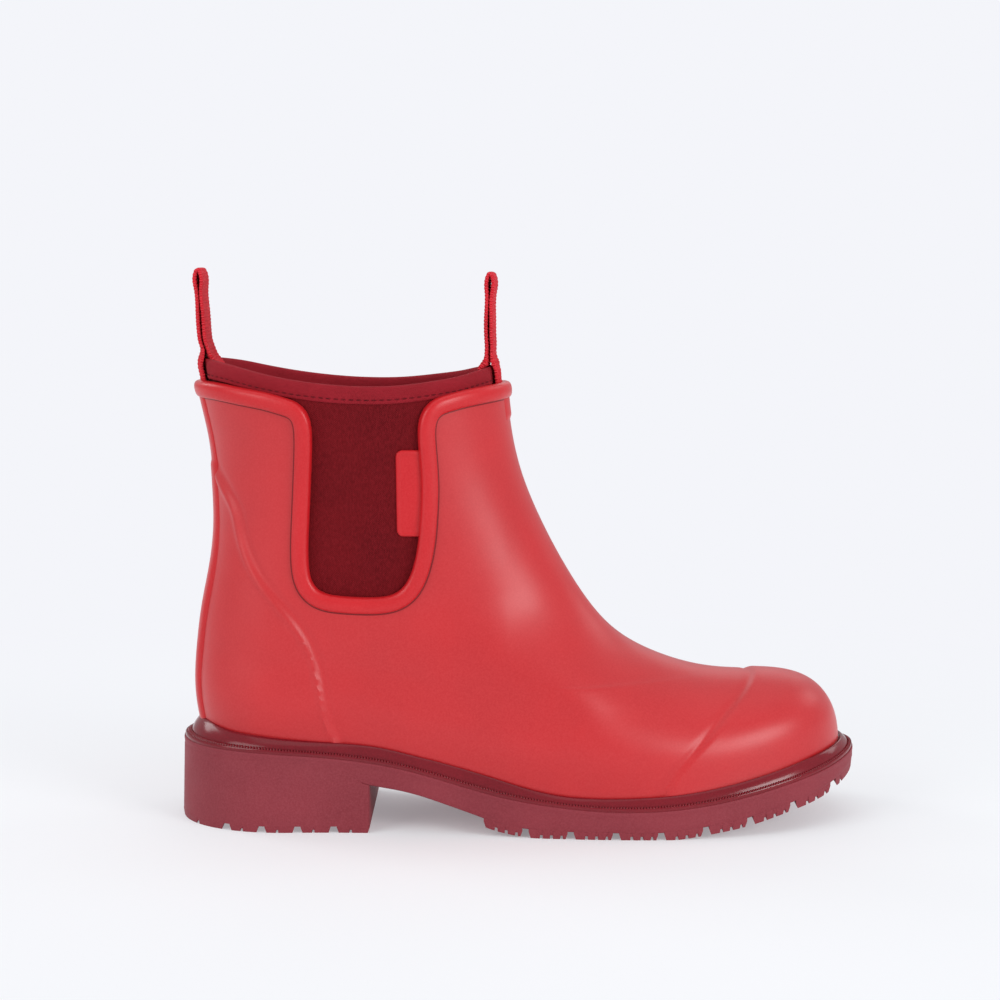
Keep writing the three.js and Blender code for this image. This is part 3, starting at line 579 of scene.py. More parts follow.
def rubber(name, base, pale, deep, roughness, grain=2600.0, grain_depth=0.000035, wave=0.00025,
           crease_shade=None, **shader):
    """Moulded rubber: fine grain, slow unevenness, faint bloom and scuffs, and optional painted
    shade in a crease.
    """
    look = Look(name, roughness, **shader)
    tone = look.blend(look.ramp(look.noise(22, 4), 0.35, 0.65), deep, base)
    fleck = look.ramp(look.noise(1400, 2), 0.35, 0.75)
    tone = look.blend(look.math("MULTIPLY", fleck, 0.35), tone, pale)
    # Painted shade: a darker colour over the low end of the mesh's U, standing in for the shade in
    # a crease beside the part.
    if crease_shade:
        share = look.ramp(look.axes(look.flat)[0], *CREASE_SHADE_SHARE)
        tone = look.blend(share, crease_shade, tone)
    look.colour(tone)
    look.rough(look.ramp(look.noise(60, 5), 0.3, 0.7, roughness - 0.05, roughness + 0.07))
    look.bump(look.noise(34, 2), wave)
    look.bump(look.noise(grain, 2), grain_depth)
    look.bump(look.noise(grain / 4, 3), grain_depth * 0.8)
    return look.material


def jersey(name, base, pale, deep, pitch=0.0006, depth=0.00012, sheen=0.12):
    """Knit face on neoprene: fine wales and courses, fuzz and slow shading."""
    look = Look(name, 0.92, Sheen_Weight=sheen, Sheen_Roughness=0.5, Specular_IOR_Level=0.15,
                Sheen_Tint=linear(*pale))
    x, y, z = look.axes(look.place)
    along_x = look.math("ADD", x, look.math("MULTIPLY", y, 0.7))
    knit = look.weave(along_x, z, pitch * 1.5, pitch * 1.2)
    yarn = look.noise(1 / pitch, 2, stretch=(1.0, 1.0, 0.35))
    look.threads(knit, yarn, look.cloud(40, 4, deep, base), pale, (-1.2, 1.6, 0, 0.6))
    look.bump(knit, depth)
    look.bump(yarn, depth * 0.9)
    look.bump(look.noise(5200, 2), depth * 0.4)
    return look.material


def woven_tape(name, base, pale, deep, pitch, flat=False, depth=0.00012):
    """Plain-woven tape, its threads along x and z, or along the mesh's own flat coordinates."""
    look = Look(name, 0.85, Sheen_Weight=0.08, Sheen_Roughness=0.4, Specular_IOR_Level=0.2,
                Sheen_Tint=linear(*pale))
    source = look.flat if flat else look.place
    x, y, z = look.axes(source)
    weave = look.weave(x, y if flat else z, pitch, pitch * 0.8)
    fibre = look.noise(3800, 3, place=source, stretch=(1.0, 0.25, 1.0))
    look.threads(weave, fibre, look.cloud(70, 4, deep, base), pale, (-1, 1.7, 0, 0.7))
    look.bump(weave, depth)
    look.bump(fibre, depth * 0.7)
    return look.material


def foam_look():
    look = Look("eva_foam", 0.95)
    cells = look.node("TexVoronoi", Scale=1400.0, Vector=look.place)
    look.colour(look.cloud(60, 3, (70, 70, 76), (98, 98, 104)))
    look.bump(cells.outputs["Distance"], 0.0002)
    return look.material


def fibrous(name, roughness, dark, pale, scale, detail, stretch, depth, spread=0.0, **shader):
    """A board or sheet with fine streaks one way."""
    look = Look(name, roughness, **shader)
    streaks = look.noise(scale, detail, stretch=stretch)
    look.colour(look.blend(look.ramp(streaks, 0.3, 0.7), dark, pale))
    if spread:
        look.rough(look.ramp(streaks, 0.3, 0.7, roughness - spread, roughness + spread))
    look.bump(streaks, depth)
    return look.material


CREASE_SHADE_SHARE = (0.10, 0.20)  # the mesh's own U, over which the painted crease shade fades out
UPPER = rubber("upper_rubber_satin", (194, 27, 33), (206, 56, 58), (186, 26, 32), 0.5,
               Specular_IOR_Level=0.3, Coat_Weight=0.5, Coat_Roughness=0.33)
TRIM = rubber("trim_rubber_satin", (198, 24, 32), (210, 52, 56), (188, 18, 26), 0.36,
              grain=3200.0, grain_depth=0.00002, wave=0.00015, Specular_IOR_Level=0.35)
# The bead's crease colour is painted shade in the groove where the bead meets the shell.
BEAD = rubber("bead_rubber_satin", (200, 24, 32), (212, 54, 58), (190, 18, 26), 0.34,
              grain=3200.0, grain_depth=0.00002, wave=0.00015, crease_shade=(128, 12, 20),
              Specular_IOR_Level=0.4)
SOLE = rubber("sole_rubber_matte", (136, 42, 53), (156, 66, 76), (124, 34, 45), 0.6,
              grain=1800.0, grain_depth=0.00005, Specular_IOR_Level=0.4)
# The welt's crease colour is painted shade along the welt's top, where it meets the upper.
WELT = rubber("welt_rubber_gloss", (118, 12, 26), (140, 30, 44), (104, 8, 22), 0.15,
              grain=3000.0, grain_depth=0.00001, wave=0.0002, crease_shade=(60, 6, 12),
              Specular_IOR_Level=0.4)
STIFFENER = rubber("stiffener_rubber", (52, 50, 52), (72, 70, 72), (40, 38, 40), 0.8,
                   grain=1500.0, grain_depth=0.0001)
GUSSET = jersey("gusset_jersey", (106, 10, 18), (142, 30, 38), (92, 6, 14), sheen=0.08)
LINING = jersey("lining_jersey", (104, 22, 28), (142, 48, 52), (88, 16, 22), pitch=0.0008)
TOPCLOTH = jersey("footbed_knit", (110, 26, 32), (148, 56, 60), (90, 18, 24), pitch=0.0011,
                  depth=0.0002)
BINDING = woven_tape("binding_weave", (150, 18, 34), (178, 50, 60), (134, 12, 26), 0.0007)
WEBBING = woven_tape("loop_webbing", (222, 24, 42), (244, 84, 94), (198, 16, 32), 0.0012,
                     flat=True, depth=0.0002)
THREAD = woven_tape("sewing_thread", (112, 12, 24), (150, 36, 48), (92, 8, 18), 0.0004)
FOAM = foam_look()
BOARD = fibrous("fibre_board", 0.9, (150, 122, 84), (190, 164, 120), 900, 5, (0.3, 1.0, 1.0),
                0.0002)
STEEL = fibrous("sheet_steel", 0.35, (140, 142, 146), (178, 180, 184), 700, 4, (0.04, 1.0, 1.0),
                0.00005, spread=0.07, Metallic=1.0)

for node, material in {
    "toe_puff": STIFFENER, "heel_stiffener": STIFFENER, "forefoot_filler": STIFFENER,
    "heel_filler": STIFFENER, "insole_board": BOARD, "shank": STEEL,
}.items():
    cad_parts[node].data.materials.clear()
    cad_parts[node].data.materials.append(material)


# ---- Lines drawn on the side view ----
RIM_BACK_Z = 176.6
RIM_FRONT_Z = 176.0
rim_z = curve([
    (-131.5, RIM_BACK_Z), (-121.7, 176.2), (-110.7, 174.6), (-99.3, 172.7), (-93, 171),
    (-29, 172), (-24.5, 173.1), (-15.8, 174.7), (-5.2, RIM_FRONT_Z),
])
RIM_U = np.array([
    (-92.6, 170.9), (-89.6, 169.8), (-87.2, 167.8), (-85.9, 164.8), (-85.4, 160.5), (-85.6, 151),
    (-86.2, 140), (-86.9, 128), (-87.5, 117), (-87.4, 107), (-86.2, 100.6), (-83.2, 95.8),
    (-78.6, 93), (-71.5, 91.7), (-63, 91.2), (-55, 91.4), (-48.8, 92.9), (-44.2, 96.2),
    (-41, 101.2), (-38.8, 107.5), (-37.1, 116), (-36, 128), (-35.6, 140), (-36.2, 151),
    (-36.7, 159), (-36.4, 164.2), (-35, 168), (-32.4, 170.6), (-29, 171.9),
])
RIM_BACK = float(heel_line(RIM_BACK_Z))
RIM_FRONT = float(ridge_x(RIM_FRONT_Z))
TOE_CAP_LINE = np.array([
    (57, 5), (59.5, 18.6), (62, 23.3), (68, 30.4), (75.5, 38.3), (83.4, 46.1), (91.8, 53.4),
    (98.5, 60.5), (104, 75),
])
COUNTER_LINE = np.array([
    (-125, 146), (-121.5, 140.1), (-118, 134.5), (-114.7, 128.5), (-112.7, 120.1), (-108.4, 107.1),
    (-103.7, 99.3), (-98.4, 92.9), (-91.7, 84.9), (-86.6, 77.4), (-83, 69.2), (-80.7, 60.3),
    (-78.6, 49.1), (-76.5, 41.5), (-73.6, 35.3), (-72, 15),
])


def refine(points, step):
    """A smooth line through points, at about that spacing."""
    points = np.asarray(points, float)
    walk = walked(points)
    t = np.linspace(0, walk[-1], max(2, int(walk[-1] / step)))
    return np.stack([curve(list(zip(walk, c)))(t) for c in points.T], -1)


def rim_side():
    """Side-view line of the shell's cut edge, with points bunched at its two ends."""
    u = (1 - np.cos(np.pi * np.arange(61) / 60)) / 2
    top = RIM_BACK + (RIM_FRONT - RIM_BACK) * u
    top = np.stack([top, rim_z(top)], -1)
    u_line = refine(np.vstack([
        top[top[:, 0] < -97][-1:], RIM_U, top[top[:, 0] > -24][:1]]), 0.7)
    return np.vstack([top[top[:, 0] < -97][:-1], u_line, top[top[:, 0] > -24][1:]])


edge_line = rim_side()


def nearest(x, z, line):
    """Distance from points to a line, the nearest point on it, and which side they are on."""
    shape = x.shape
    p = np.stack([x.ravel(), z.ravel()], -1)
    a, b = line[:-1], line[1:]
    d = b - a
    far = np.full(len(p), 1e9)
    spot = np.zeros_like(p)
    sign = np.ones(len(p))
    for k in range(len(a)):
        q = p - a[k]
        t = clamp01((q @ d[k]) / max(d[k] @ d[k], 1e-12))
        gap = q - t[:, None] * d[k]
        reach = np.hypot(*gap.T)
        closer = reach < far
        far = np.where(closer, reach, far)
        spot = np.where(closer[:, None], a[k] + t[:, None] * d[k], spot)
        sign = np.where(closer, np.sign(d[k][0] * q[:, 1] - d[k][1] * q[:, 0]), sign)
    return far.reshape(shape), spot.reshape(*shape, 2), sign.reshape(shape)


def beyond_edge(x, z):
    """Whether side-view points lie in the cut-out over the shell's edge."""
    outline = np.vstack([edge_line, [(60, edge_line[-1, 1]), (60, 400), (-220, 400)],
                         [(-220, edge_line[0, 1])]])
    inside = np.zeros(x.shape, bool)
    for a, b in zip(outline, np.roll(outline, -1, axis=0)):
        crosses = (a[1] > z) != (b[1] > z)
        if a[1] != b[1]:
            inside ^= crosses & (x < a[0] + (z - a[1]) * (b[0] - a[0]) / (b[1] - a[1]))
    return inside


CAP_H = 0.7
CAP_GROOVE = 0.6
COUNTER_RIB = 0.8
COUNTER_GROOVE = 0.3
COUNTER_H = 0.4
COUNTER_TOP = 152
RELIEF_STEP = 1.5


def hump(t, centre, width):
    return np.exp(-((t - centre) / width) ** 2)


def past(x, z, line):
    """Distance from a line of the side view, above zero on the right of the way it runs."""
    far, _, sign = nearest(x, z, refine(line, RELIEF_STEP))
    return -far * sign


def relief(x, z):
    """The toe cap's step and the heel counter's raised line, moulded in the shell."""
    ahead = past(x, z, TOE_CAP_LINE)
    cap = CAP_H * smooth((ahead + 1.3) / 2.2) * (1 - 0.85 * smooth((ahead - 5) / 28))
    groove = -CAP_GROOVE * hump(ahead, -1.7, 1.25)
    behind = past(x, z, COUNTER_LINE)
    line = COUNTER_RIB * hump(behind, 0.3, 1.35) - COUNTER_GROOVE * hump(behind, -2.6, 1.2)
    counter = COUNTER_H * smooth((behind + 1) / 2.5) * (1 - smooth((behind - 4) / 22))
    return cap + groove + (line + counter) * smooth((COUNTER_TOP - z) / 10)


# ---- Rubber shell ----
SHELL_ROWS = 210
SHELL_TURNS = 440


def upper_shell():
    turn = turns(SHELL_TURNS)
    x, z = upper_grid(np.linspace(0, 1, SHELL_ROWS), turn)
    side = np.broadcast_to(side_of(turn), x.shape)
    faces = grid_faces(*x.shape, loop=True)
    centre_x = x.ravel()[faces].mean(1)
    centre_z = z.ravel()[faces].mean(1)
    gone = beyond_edge(centre_x, centre_z)
    border = np.intersect1d(faces[gone], faces[~gone])
    _, spot, _ = nearest(x.ravel()[border], z.ravel()[border], edge_line)
    x.ravel()[border], z.ravel()[border] = spot.T
    outer = skin(x, z, side, relief(x, z)).reshape(-1, 3)
    inner = skin(x, z, side, -SHELL_T).reshape(-1, 3)
    return thick(outer, inner, faces[~gone])


make("upper_shell_skin", *upper_shell(), UPPER, "upper_rubber", replaces=["upper_shell"])

# ---- Raised bead on the shell's edge ----
BEAD_STEP = 0.8
# The first points make a narrow apron on the shell, which the bead material darkens as painted
# shade in the groove.
BEAD_PROFILE = [
    (-4.0, -0.4), (-3.92, 0.09), (-3.6, 0.05), (-3.32, 0.12), (-3.3, 0.7), (-3.1, 1.25),
    (-2.6, 1.7), (-1.8, 2.0), (-0.7, 2.15), (0.5, 2.15), (1.5, 2.0), (2.3, 1.7), (2.9, 1.2),
    (3.2, 0.5), (3.3, -0.4), (3.3, -1.3), (3.2, -2.0), (2.8, -2.15), (0.4, -2.15), (0.2, -1.0),
    (0.1, -0.6), (-1.5, -0.6),
]


def closed_walk(points, step):
    """Index positions at an even spacing round a closed run of points."""
    loop = np.vstack([points, points[:1]])
    walk = walked(loop)
    wanted = np.arange(0, walk[-1], walk[-1] / round(walk[-1] / step))
    return np.interp(wanted, walk, np.arange(len(loop)))


def at_positions(values, positions):
    """Values of a closed run at fractional index positions."""
    loop = np.vstack([values, values[:1]])
    low = np.floor(positions).astype(int)
    t = (positions - low)[:, None]
    return loop[low] * (1 - t) + loop[low + 1] * t


def soften(values, rounds):
    for _ in range(rounds):
        values = (np.roll(values, 1, 0) + 2 * values + np.roll(values, -1, 0)) / 4
    return values


def unit(v):
    return v / (np.linalg.norm(v, axis=-1, keepdims=True) + 1e-12)


def rim_bead():
    back = edge_line[1:-1][::-1]
    x = np.concatenate([edge_line[:, 0], back[:, 0]])
    z = np.concatenate([edge_line[:, 1], back[:, 1]])
    side = np.concatenate([-np.ones(len(edge_line)), np.ones(len(back))])
    at = skin(x, z, side)
    normal = skin(x, z, side, 1.0) - at
    positions = closed_walk(at, BEAD_STEP)
    at = soften(at_positions(at, positions), 5)
    normal = unit(soften(at_positions(normal, positions), 5))
    forward = unit(np.roll(at, -1, 0) - np.roll(at, 1, 0))
    across = unit(np.cross(normal, forward))
    sections = np.stack([at + across * w + normal * h for w, h in BEAD_PROFILE], 1)
    # U rises round the profile; its lowest values, on the apron, carry the painted groove shade.
    round_share = np.arange(len(BEAD_PROFILE)) / len(BEAD_PROFILE)
    uv = np.zeros(sections.shape[:2] + (2,))
    uv[..., 0] = round_share
    return *hoop(sections), uv


bead_points, bead_faces, bead_uv = rim_bead()
make("rim_bead", bead_points, bead_faces, BEAD, "trim_rubber", replaces=["rim_band"], uv=bead_uv,
     sharp=50)


# ---- Centre-line strips ----
END_REACH = 40.0  # how far from the end a point may lie
END_HALVINGS = 34
STRIP_STEP = 0.8
STRIP_COLUMNS = 41


def end_point(end, z, y, out):
    """Points y off the centre plane on the heel (-1) or instep (1), moved out."""
    z, y, out = np.broadcast_arrays(*(np.asarray(v, float) for v in (z, y, out)))
    side = np.where(y < 0, -1.0, 1.0)
    edge = heel_line(z) if end < 0 else ridge_x(z)
    near = np.zeros(z.shape)
    far = np.full(z.shape, END_REACH)
    for _ in range(END_HALVINGS):
        middle = (near + far) / 2
        p = skin(edge - end * middle, z, side, out)
        narrow = abs(p[..., 1] - middle_y(p[..., 0])) < abs(y)
        near = np.where(narrow, middle, near)
        far = np.where(narrow, far, middle)
    return skin(edge - end * near, z, side, out)


def centre_strip(end, half, low, high, face):
    """Rubber strip up the centre line; face(y, z) gives how far its face stands out."""
    z = np.linspace(low, high, int((high - low) / STRIP_STEP) + 2)[:, None]
    y = (np.sin(np.linspace(-np.pi / 2, np.pi / 2, STRIP_COLUMNS)) * half)[None]
    z, y = np.broadcast_arrays(z, y)
    outer = end_point(end, z, y, face(y, z))
    inner = end_point(end, z, y, -GAP)
    return slab(outer, inner)


BACKSTAY_HALF = 11
PATCH_HALF = 9
STRIP_TOP = 175


def backstay_face(y, z):
    rounded = 1 - (abs(y) / (BACKSTAY_HALF + 0.05)) ** 10
    return 0.15 + (0.75 + 0.55 * smooth((148 - z) / 3)) * rounded


def patch_face(y, z):
    return 0.02 + 0.75 * (1 - (abs(y) / (PATCH_HALF + 0.05)) ** 2.4) * smooth((z - 163.6) / 2.2)


make("backstay_rib", *centre_strip(-1, BACKSTAY_HALF, 36.5, STRIP_TOP, backstay_face), TRIM,
     "trim_rubber", replaces=["backstay_strip"])
make("front_rib", *centre_strip(1, PATCH_HALF, 163.8, STRIP_TOP, patch_face), TRIM, "trim_rubber",
     replaces=["front_patch"])


# ---- Neoprene gussets ----
GUSSET_LEFT = -92.5
GUSSET_RIGHT = -30.5
GUSSET_LOW = 86.0
GUSSET_SWELL = 0.5
GUSSET_TUCK = 0.9


def gusset(side):
    columns = np.linspace(GUSSET_LEFT, GUSSET_RIGHT, 80)
    rows = np.linspace(0, 1, 110)[:, None]
    z = mix(GUSSET_LOW, collar(columns)[None] - 3.0, rows)
    x = np.broadcast_to(columns, z.shape)
    swell = GUSSET_SWELL * np.sin(np.pi * clamp01((x - GUSSET_LEFT) / (GUSSET_RIGHT - GUSSET_LEFT)))
    swell = swell * np.sin(np.pi * rows) ** 0.7
    tuck = -GUSSET_TUCK * smooth((z - (collar(x) - 7.2)) / 2.5)
    outer = skin(x, z, side, PANEL_OUT + swell + tuck)
    inner = skin(x, z, side, PANEL_OUT - PANEL_T + tuck)
    return slab(outer, inner)


for side, name in ((-1, "lateral"), (1, "medial")):
    panel = make(f"gusset_{name}", *gusset(side), GUSSET, "gusset_neoprene",
                 replaces=[f"gusset_panel_{name}"])

# ---- Collar binding ----
BINDING_TURNS = 420
BINDING_PROFILE = [
    (-2.5, -6.9), (-1.9, -6.7), (-1.75, -6.1), (-1.8, -5.6), (-2.05, -5.2), (-1.95, -4.7),
    (-1.95, -3.6), (-2.1, -2.4), (-2.4, -1.4), (-2.9, -0.6), (-3.6, -0.12), (-4.4, 0.0),
    (-5.3, -0.05), (-6.2, -0.3), (-6.9, -0.9), (-7.35, -1.9), (-7.55, -3.2), (-7.6, -4.7),
    (-7.75, -5.4), (-7.7, -6.1), (-7.2, -6.4), (-6.6, -6.2), (-6.4, -4.5), (-5.9, -2.2),
    (-4.6, -1.5), (-3.4, -2.0), (-3.0, -3.4), (-2.9, -5.4), (-2.9, -6.7),
]
LOOP_HALF = WEB_W / 2 + 2.2
LOOP_TURN = 0.9  # radians either side of the back and the front that the webbing may lie in
BINDING_OUTER = -3.7  # what lies further out makes room for the webbing


def webbing_room(p):
    """How far the binding's outer face stands back behind the sewn webbing."""
    return smooth((LOOP_HALF + 2.0 - abs(p[..., 1] - middle_y(p[..., 0]))) / 2.0)


def binding_ring(depth, height, turn):
    line = level(raised(collar, height))
    rest = ring(line, depth, turn)
    if depth < BINDING_OUTER:
        return rest
    back = (turn < LOOP_TURN) | (turn > 2 * np.pi - LOOP_TURN)
    front = abs(turn - np.pi) < LOOP_TURN
    share = webbing_room(rest) * (back | front)
    return ring(line, mix(depth, BINDING_OUTER - 0.05 + 0.25 * (depth + 1.75), share), turn)


def collar_binding():
    turn = turns(BINDING_TURNS)
    return hoop(np.stack([binding_ring(d, h, turn) for d, h in BINDING_PROFILE], 1))


make("binding_tape_fold", *collar_binding(), BINDING, "binding_tape",
     replaces=["collar_binding"], sharp=60)


# ---- Stitches ----
STITCH_L = 2.1
STITCH_PITCH = 3.0
THREAD_R = 0.28


def stitches(line, normal, length, pitch, radius, sunk=0.15):
    """Short raised threads along a run of points, as (points, faces)."""
    walk = walked(line)
    parts = []
    corner = turns(6)
    bow = np.sin(np.pi * np.linspace(0, 1, 6))
    for start in np.arange(pitch / 2, walk[-1] - length, pitch):
        at = start + np.linspace(0, length, 6)
        middle = np.stack([np.interp(at, walk, c) for c in line.T], -1)
        up = unit(np.stack([np.interp(at, walk, c) for c in normal.T], -1))
        ahead = unit(np.gradient(middle, axis=0))
        over = unit(np.cross(up, ahead))
        middle = middle + up * (bow * radius * 0.9 - sunk)[:, None]
        width = radius * (0.55 + 0.45 * bow)
        section = middle[:, None] + width[:, None, None] * (
            np.cos(corner)[None, :, None] * over[:, None]
            + np.sin(corner)[None, :, None] * up[:, None]
        )
        parts.append(sweep(section))
    return joined(parts)


def ring_stitches(depth, height):
    """A seam round the collar, leaving out the webbing."""
    turn = np.linspace(0, 2 * np.pi, 1400)
    line = level(raised(collar, height))
    at = ring(line, depth, turn)
    up = ring(line, depth + 1, turn) - at
    if depth < -5:
        up = -up
    runs = []
    for low, high in ((0.0, np.pi), (np.pi, 2 * np.pi)):
        half = (turn >= low) & (turn <= high) & (abs(at[:, 1]) > LOOP_HALF + 0.4)
        runs.append(stitches(at[half], up[half], STITCH_L, STITCH_PITCH, THREAD_R))
    return joined(runs)


make("binding_seam_outer", *ring_stitches(-2.0, -5.15), THREAD, "binding_tape", sharp=70)
make("binding_seam_inner", *ring_stitches(-7.62, -5.0), THREAD, "binding_tape", sharp=70)

# ---- Neoprene sock ----
SOCK_TURNS = 320


def lining_body():
    """Inner and outer bowls of the sock, closed together at the top only."""
    turn = turns(SOCK_TURNS)
    side = side_of(turn)

    def bowl(depth, floor_height, top):
        floor = above(floor_height)
        low = plan_ring(depth, floor, turn)
        x, z = upper_grid(np.linspace(0.06, 1, 90), turn)
        wall = list(skin(x, z, np.broadcast_to(side, x.shape), depth))
        wall.append(ring(level(raised(collar, -top)), depth, turn))
        corner = [mix(low, wall[0], t) for t in (0.0, 0.4, 0.75)]
        return cap_rings(low, floor)[::-1] + corner + wall

    inner = bowl(LINING_IN, SOCK_LOW + LINING_T, 1.2)
    outer = bowl(LINING_IN + 1.5, SOCK_LOW + 0.6, 1.6)
    return stack(outer + inner[::-1])


sock = make("neoprene_sock", *lining_body(), LINING, "gusset_neoprene",
            replaces=["lining_sock"], weld=2e-6)

# ---- Loose footbed ----
FOOTBED_TURNS = 240
FOOTBED_INSET = LINING_IN - FOOTBED_GAP


def footbed_ring(out, z_at):
    turn = turns(FOOTBED_TURNS)
    low = ring(foot, FOOTBED_INSET + out, turn, flat=True)
    high = ring(level(above(CLOTH_LOW + CLOTH_T)), FOOTBED_INSET + out, turn, flat=True)
    x = np.where(abs(low[:, 0]) < abs(high[:, 0]), low[:, 0], high[:, 0])
    centre = middle_y(x)
    nearer = abs(low[:, 1] - centre) < abs(high[:, 1] - centre)
    y = np.where(nearer, low[:, 1], high[:, 1])
    return np.stack([x, y, z_at(x)], -1)


def footbed_layer(low, high, round_by):
    """A slab of the footbed with its upper and lower edges rounded."""
    rows = [(-round_by, low), (-round_by * 0.3, low + round_by * 0.3), (0, low + round_by),
            (0, high - round_by), (-round_by * 0.3, high - round_by * 0.3), (-round_by, high)]
    rings = [footbed_ring(out, above(h)) for out, h in rows]
    return capped(rings, above(low), above(high))


foam = make("footbed_cushion", *footbed_layer(FOAM_LOW, FOAM_LOW + FOAM_T, 0.8), FOAM,
            "footbed_foam", body="footbed", replaces=["footbed_foam"], weld=2e-6)
top_cloth = make("footbed_cover", *footbed_layer(CLOTH_LOW, CLOTH_LOW + CLOTH_T, 0.3), TOPCLOTH,
                 "footbed_cloth", body="footbed", replaces=["footbed_topcloth"], weld=2e-6)

# ---- Pull loops ----
RIB_PITCH = 1.45
RIB_H = 0.24
WEB_SEEN_T = 1.9  # over the ribs
SEEN_SPREAD = 0.25
SEEN_FOOT = 0.2
FOOT_SWELL = {-1: 0.1, 1: 0.5}  # share that the webbing thickens by where it is sewn together
FOOT_SWELL_UP = 4.5
LOOP_TWIST = {-1: 0.0, 1: 0.07}
NECK_SHARE = {-1: 0.62, 1: 0.64}  # where the strands meet, from the inner leg to the outer
SWAY = {  # how far the loop has swung outwards, at shares of its height
    -1: [(0.4, 0.2), (1.1, 0.5), (1.7, 0.78), (1.9, 0.95)],
    1: [(-0.5, 0.2), (-0.85, 0.5), (-0.55, 0.78), (-0.35, 0.95)],
}
WEB_STEP = 0.24
WEB_SOFTEN = 30
WEB_EDGE = 0.28  # exponents of the webbing's boxy section, across its width and its thickness
WEB_FACE = 0.5
WEB_CORNERS = 26
PROUD = 0.9  # how far the outer leg bows out between the bead and the binding's top
PROUD_FROM = -10.5
FREE_OVER = 9.0  # height over which the webbing stops following the collar's curve
LEG_END = 1.6


def loop_path(end):
    """Side-view line of the webbing, up the outside, over, and down the inside."""
    top = float(collar(throat[0] if end < 0 else throat[1]))
    crown = [end_point(end, top, WEB_W / 2, d)[2] for d in (BINDING_OUTER - 0.1, BINDING_IN)]
    base = max([top, *crown]) + SEEN_FOOT
    outer_x = end_point(end, top, 0.0, LEG_OUT - WEB_T / 2)[0]
    inner_x = end_point(end, top, 0.0, INNER_LEG_OUT - WEB_T / 2)[0]
    neck = mix(inner_x, outer_x, NECK_SHARE[end])
    half = (SEEN_SPREAD + WEB_SEEN_T) / 2
    height = top + LOOP_RISE - base

    def strand(sign):
        shape = [(sign * half * 1.25, 0), (sign * half, 0.08)]
        shape += [(sign * half + sway, rise) for sway, rise in SWAY[end]]
        return [(neck + end * x, base + rise * height) for x, rise in shape]

    def leg(depth):
        z = np.linspace(top - LOOP_HIDDEN, top - LEG_END, 5)
        return [(end_point(end, h, 0.0, depth - WEB_T / 2)[0], h) for h in z]

    points = leg(LEG_OUT) + strand(1) + [(neck + end * SWAY[end][-1][0], base + height)]
    points += strand(-1)[::-1] + leg(INNER_LEG_OUT)[::-1]
    return np.array(points, float), top, base


def pull_loop(end):
    """Ribbed webbing along its side-view line, following the collar's curve at its two ends."""
    points, top, base = loop_path(end)
    line = refine(points, WEB_STEP)
    for _ in range(WEB_SOFTEN):
        line[1:-1] = (line[:-2] + 2 * line[1:-1] + line[2:]) / 4
    walk = walked(line)
    ahead = unit(np.gradient(line, axis=0))
    away = np.stack([-ahead[:, 1], ahead[:, 0]], -1)
    corner = turns(WEB_CORNERS)
    box_y = np.sign(np.cos(corner)) * abs(np.cos(corner)) ** WEB_EDGE
    box_t = np.sign(np.sin(corner)) * abs(np.sin(corner)) ** WEB_FACE
    rib = abs(np.sin(np.pi * walk / RIB_PITCH)) ** 0.8
    half_t = WEB_SEEN_T / 2 - RIB_H + RIB_H * rib
    height = line[:, 1] - top
    swell = smooth((height + 1.5) / 2) * (1 - smooth(height / FOOT_SWELL_UP))
    half_t = half_t * (1 + FOOT_SWELL[end] * swell)
    half_y = WEB_W / 2 - 0.25 + 0.28 * rib
    y = half_y[:, None] * box_y[None]
    t = half_t[:, None] * box_t[None]
    x = line[:, 0][:, None] + away[:, 0][:, None] * t
    z = line[:, 1][:, None] + away[:, 1][:, None] * t
    hug = end_curve(end, y)
    free = smooth(height / FREE_OVER)[:, None]
    outside = np.arange(len(line)) < len(line) / 2
    proud = smooth((height - PROUD_FROM) / 3) * (1 - smooth(height / 5)) * outside
    x = x + hug * (1 - free) + y * LOOP_TWIST[end] * free + end * PROUD * proud[:, None]
    sections = np.stack([x, y + middle_y(line[:, 0])[:, None], z], -1)
    uv = np.stack(np.broadcast_arrays(y / 1000, (walk / 1000)[:, None]), -1)
    points3, faces = sweep(sections)
    uv = np.vstack([uv.reshape(-1, 2), uv[0].mean(0), uv[-1].mean(0)])
    return points3, faces, uv, top, base


def end_curve(end, y):
    """How far the collar has curved away at y off the centre plane, along x."""
    ys = np.linspace(0, WEB_W / 2 + 1, 12)
    x = end_point(end, 178.0, ys, LEG_OUT)[:, 0]
    return np.interp(abs(y), ys, x - x[0])


for end, name in ((-1, "back"), (1, "front")):
    points3, faces, uv, top, base = pull_loop(end)
    loop = make(f"webbing_loop_{name}", points3, faces, WEBBING, "webbing", body=None, uv=uv,
                replaces=[f"pull_loop_{name}", f"loop_leg_{name}_outer", f"loop_leg_{name}_inner"],
                sharp=80)
    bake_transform(loop)

# ---- Side tab ----
TAB_ROUND = 2.8
TAB_BORDER_H = 0.22
TAB_EDGE = 0.55
TAB_PLUMP = 0.9
TAB_UNDER = 2.6  # how far the tab runs in under the bead
TAB_DEPTH = PANEL_OUT + GAP


def rim_inner_x(z):
    """The bead's gusset-side edge beside the tab, at a height."""
    front = RIM_U[18:26]
    return curve([(h, x) for x, h in front])(z) - RIM_W / 2


